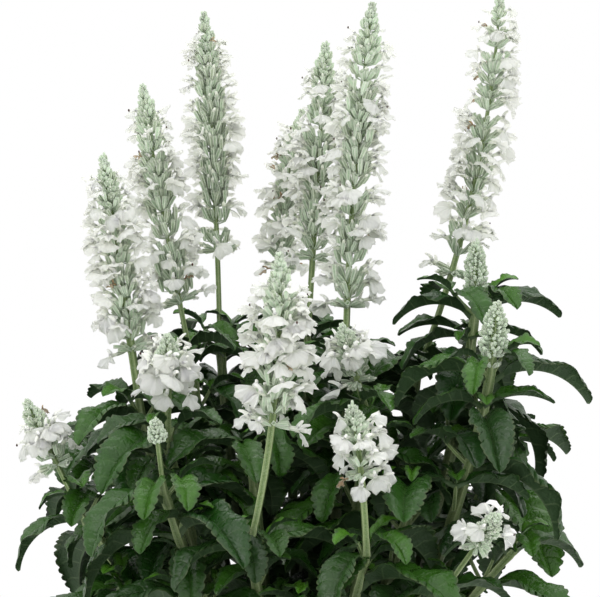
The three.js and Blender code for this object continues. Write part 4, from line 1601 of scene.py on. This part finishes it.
def make_pot():
    """The pot's taper, rolled rim and band, with round drain holes near its foot."""
    band_foot = POT_HEIGHT - BAND_HEIGHT
    inner_top = wall_radius(POT_HEIGHT) - WALL
    profile = [(0, 0)]
    profile += rounded((FOOT_RADIUS - EDGE, EDGE), EDGE, -90, -10)
    profile += [(wall_radius(band_foot * share), band_foot * share) for share in WALL_SHARES]
    band_edge = wall_radius(band_foot) + BAND_STEP - BAND_ROUND
    profile += rounded((band_edge, band_foot + BAND_LIFT), BAND_ROUND, -80, 0)
    profile += rounded((RIM_RADIUS - LIP_ROUND, POT_HEIGHT - LIP_ROUND), LIP_ROUND, 0, 90)
    profile += rounded((inner_top + LIP_ROUND, POT_HEIGHT - LIP_ROUND), LIP_ROUND, 90, 180)
    profile += [(wall_radius(z) - WALL, z) for z in INNER_HEIGHTS]
    profile += rounded((wall_radius(FLOOR) - WALL - INNER_ROUND, FLOOR + INNER_ROUND), INNER_ROUND, 0, -90)
    profile += [(0, FLOOR)]
    wall = Skin([])
    add_turned(wall, profile, {})
    pot = make_piece('nursery_pot', wall, pot_material(), 'pot', 40)
    drills = Skin([])
    reach = FOOT_RADIUS + np.array([[-DRILL_REACH], [DRILL_REACH]])
    up = np.array([0, 0, 1.0])
    for hole in range(DRAIN_HOLES):
        angle = 2 * math.pi * hole / DRAIN_HOLES + math.radians(DRAIN_START)
        out = vector(math.cos(angle), math.sin(angle), 0)
        side = vector(-math.sin(angle), math.cos(angle), 0)
        centres = out * reach + up * DRAIN_HEIGHT
        rings = rings_round(centres, side, up, DRAIN_RADIUS, ring_turns(DRAIN_SIDES))
        drills.add_lofts(rings[None], None, {})
    cut_out(pot, drills)


def cut_out(piece, skin):
    """Cut a skin's volume out of a piece."""
    mesh = mesh_of('cutter', skin)
    cutter = put_in_scene('cutter', mesh)
    boolean = piece.modifiers.new('cut', 'BOOLEAN')
    boolean.operation = 'DIFFERENCE'
    boolean.object = cutter
    cut = piece.evaluated_get(bpy.context.evaluated_depsgraph_get())
    whole = bpy.data.meshes.new_from_object(cut)
    piece.modifiers.clear()
    old = piece.data
    piece.data = whole
    bpy.data.meshes.remove(old)
    bpy.data.objects.remove(cutter)
    bpy.data.meshes.remove(mesh)


def soil_height(x, y):
    """The soil's swells and its finer crumbs."""
    swell = SOIL_BUMP * (np.sin(x / 9 + 1) * np.cos(y / 11) - 0.4)
    crumb = CRUMBLE * np.sin(x / 1.7 + 2 * np.sin(y / 2.3)) * np.sin(y / 1.9 + 1.7 * np.sin(x / 3.1))
    fine = FINE_CRUMBLE * np.sin(x / 0.9 + y / 1.3) * np.sin(y / 0.8 - x / 2.2)
    return SOIL_TOP + swell + crumb + fine


def make_soil():
    """The soil that fills the pot, with chips and grains half sunk in its crumbly top."""
    rng = np.random.default_rng(SOIL_DRAWS)
    foot = FLOOR + GAP
    inner = lambda z: wall_radius(z) - WALL - GAP
    edge = inner(SOIL_TOP - 2)
    skin = Skin(['soil_tone', 'soil_pale'])
    profile = [(0, foot), (inner(foot) - SOIL_ROUND, foot), (inner(foot + SOIL_ROUND), foot + SOIL_ROUND),
               (edge, SOIL_TOP - 3)]
    profile += [(edge * (1 - ring / SOIL_RINGS), SOIL_TOP) for ring in range(SOIL_RINGS + 1)]
    add_turned(skin, profile, {'soil_tone': 0.3, 'soil_pale': 0})
    points = skin.points[0]
    upper = points[:, 2] > SOIL_TOP - 1
    settle = smooth(np.hypot(points[:, 0], points[:, 1]), edge - 5, edge)
    points[upper, 2] = (soil_height(points[:, 0], points[:, 1]) - SOIL_SINKS * settle)[upper]

    radius = (edge - 3) * np.sqrt(rng.uniform(0, 1, SOIL_CRUMBS))
    turn = rng.uniform(0, 2 * math.pi, SOIL_CRUMBS)
    x, y = radius * np.cos(turn), radius * np.sin(turn)
    pale = (rng.uniform(0, 1, SOIL_CRUMBS) < PALE_SHARE).astype(float)
    size = rng.uniform(*CRUMB_SIZE, SOIL_CRUMBS) * (1 - 0.25 * pale)
    first = unit(rng.normal(size=(SOIL_CRUMBS, 3)) * [1, 1, 0.3])
    second = unit(np.cross(first, rng.normal(size=(SOIL_CRUMBS, 3)) * 0.3 + [0, 0, 1.0]))
    third = np.cross(first, second)
    steps = np.array(CRUMB_STEPS)[:, None]
    uneven = rng.uniform(*CRUMB_UNEVEN, (SOIL_CRUMBS, len(CRUMB_STEPS), CRUMB_SIDES))
    width = np.array(CRUMB_RADII)[None, :, None] * uneven
    flat = (0.5 + 0.4 * pale)[:, None, None]
    rings = rings_round(first[:, None] * steps, second[:, None], third[:, None], width,
                        ring_turns(CRUMB_SIDES), flat)
    place = vector(x, y, soil_height(x, y) + CRUMB_SHOWS * size)
    skin.add_lofts(place[:, None, None] + size[:, None, None, None] * rings, None, {
        'soil_tone': rng.uniform(0, 1, SOIL_CRUMBS)[:, None, None],
        'soil_pale': pale[:, None, None],
    })
    make_piece('potting_soil', skin, soil_material(), 'soil', 40)


make_pot()
make_soil()
foliage = [placed_leaves(stem, index) for index, stem in enumerate(SHOOTS)]
stalks, fresh = grow_fresh_foliage(foliage)
for index, stem in enumerate(SHOOTS):
    make_stem(stem, index, stalks[index], foliage[index] + fresh[index])
    if stem['head']:
        make_head(stem, index)


# Floor, light and camera

FLOOR_RADIUS = 600
FLOOR_SIDES = 72
CLIP_START = 0.05

# Place, size and power of every lamp
LAMPS = {
    'key': ((-900, -1300, 1300), 1000, 5),
    'fill': ((1300, -900, 700), 1200, 1.5),
    'top': ((200, 500, 1500), 1000, 4),
}


def make_floor():
    turns = ring_turns(FLOOR_SIDES)
    rim = vector(FLOOR_RADIUS * np.cos(turns), FLOOR_RADIUS * np.sin(turns), 0 * turns)
    mesh = bpy.data.meshes.new('floor')
    mesh.from_pydata((rim * MM).tolist(), [], [list(range(FLOOR_SIDES))])
    floor = put_in_scene('floor', mesh)
    material, tree, shader = new_material('pale_floor', Roughness=0.9)
    patches = grouped(tree, MOTTLING, Base=linear(240, 240, 238), Scale=20.0, Strength=0.02)
    tree.links.new(patches['Color'], shader['Base Color'])
    mesh.materials.append(material)


def add_light(name, place, size, power):
    light = bpy.data.lights.new(name, 'AREA')
    light.size = size * MM
    light.energy = power
    lamp = put_in_scene(name, light)
    lamp.location = Vector(place) * MM
    lamp.rotation_euler = (Vector(LOOK_AT) - Vector(place)).to_track_quat('-Z', 'Y').to_euler()


def light_scene():
    """Soft studio light round a white backdrop."""
    world = bpy.data.worlds.new('studio')
    world.use_nodes = True
    tree = world.node_tree
    soft = tree.nodes['Background']
    soft.inputs['Color'].default_value = (1.0, 1.0, 0.985, 1.0)
    sky = add_node(tree, 'ShaderNodeTexCoord').outputs['Generated']
    height = add_node(tree, 'ShaderNodeSeparateXYZ', {0: sky})
    tree.links.new(ramp(tree, height.outputs['Z'], -0.2, 1.0, 0.82, 1.3), soft.inputs['Strength'])
    seen = add_node(tree, 'ShaderNodeBackground', {'Color': (1.0, 1.0, 1.0, 1.0), 'Strength': 1.0})
    straight = add_node(tree, 'ShaderNodeLightPath').outputs['Is Camera Ray']
    mixed = add_node(tree, 'ShaderNodeMixShader', {0: straight, 1: soft.outputs[0], 2: seen.outputs[0]})
    tree.links.new(mixed.outputs[0], tree.nodes['World Output'].inputs['Surface'])
    bpy.context.scene.world = world
    for name, (place, size, power) in LAMPS.items():
        add_light(name, place, size, power)


def add_camera():
    camera = bpy.data.cameras.new('camera')
    camera.sensor_width = SENSOR
    camera.lens = SENSOR * CAMERA_DISTANCE / FIELD_WIDTH
    camera.clip_start = CLIP_START
    tripod = put_in_scene('camera', camera)
    tilt = math.radians(CAMERA_ELEVATION)
    place = Vector(LOOK_AT) + CAMERA_DISTANCE * Vector((0, -math.cos(tilt), math.sin(tilt)))
    tripod.location = place * MM
    tripod.rotation_euler = (math.pi / 2 - tilt, 0, 0)
    bpy.context.scene.camera = tripod


make_floor()
light_scene()
add_camera()
bpy.context.scene.view_settings.view_transform = 'Standard'
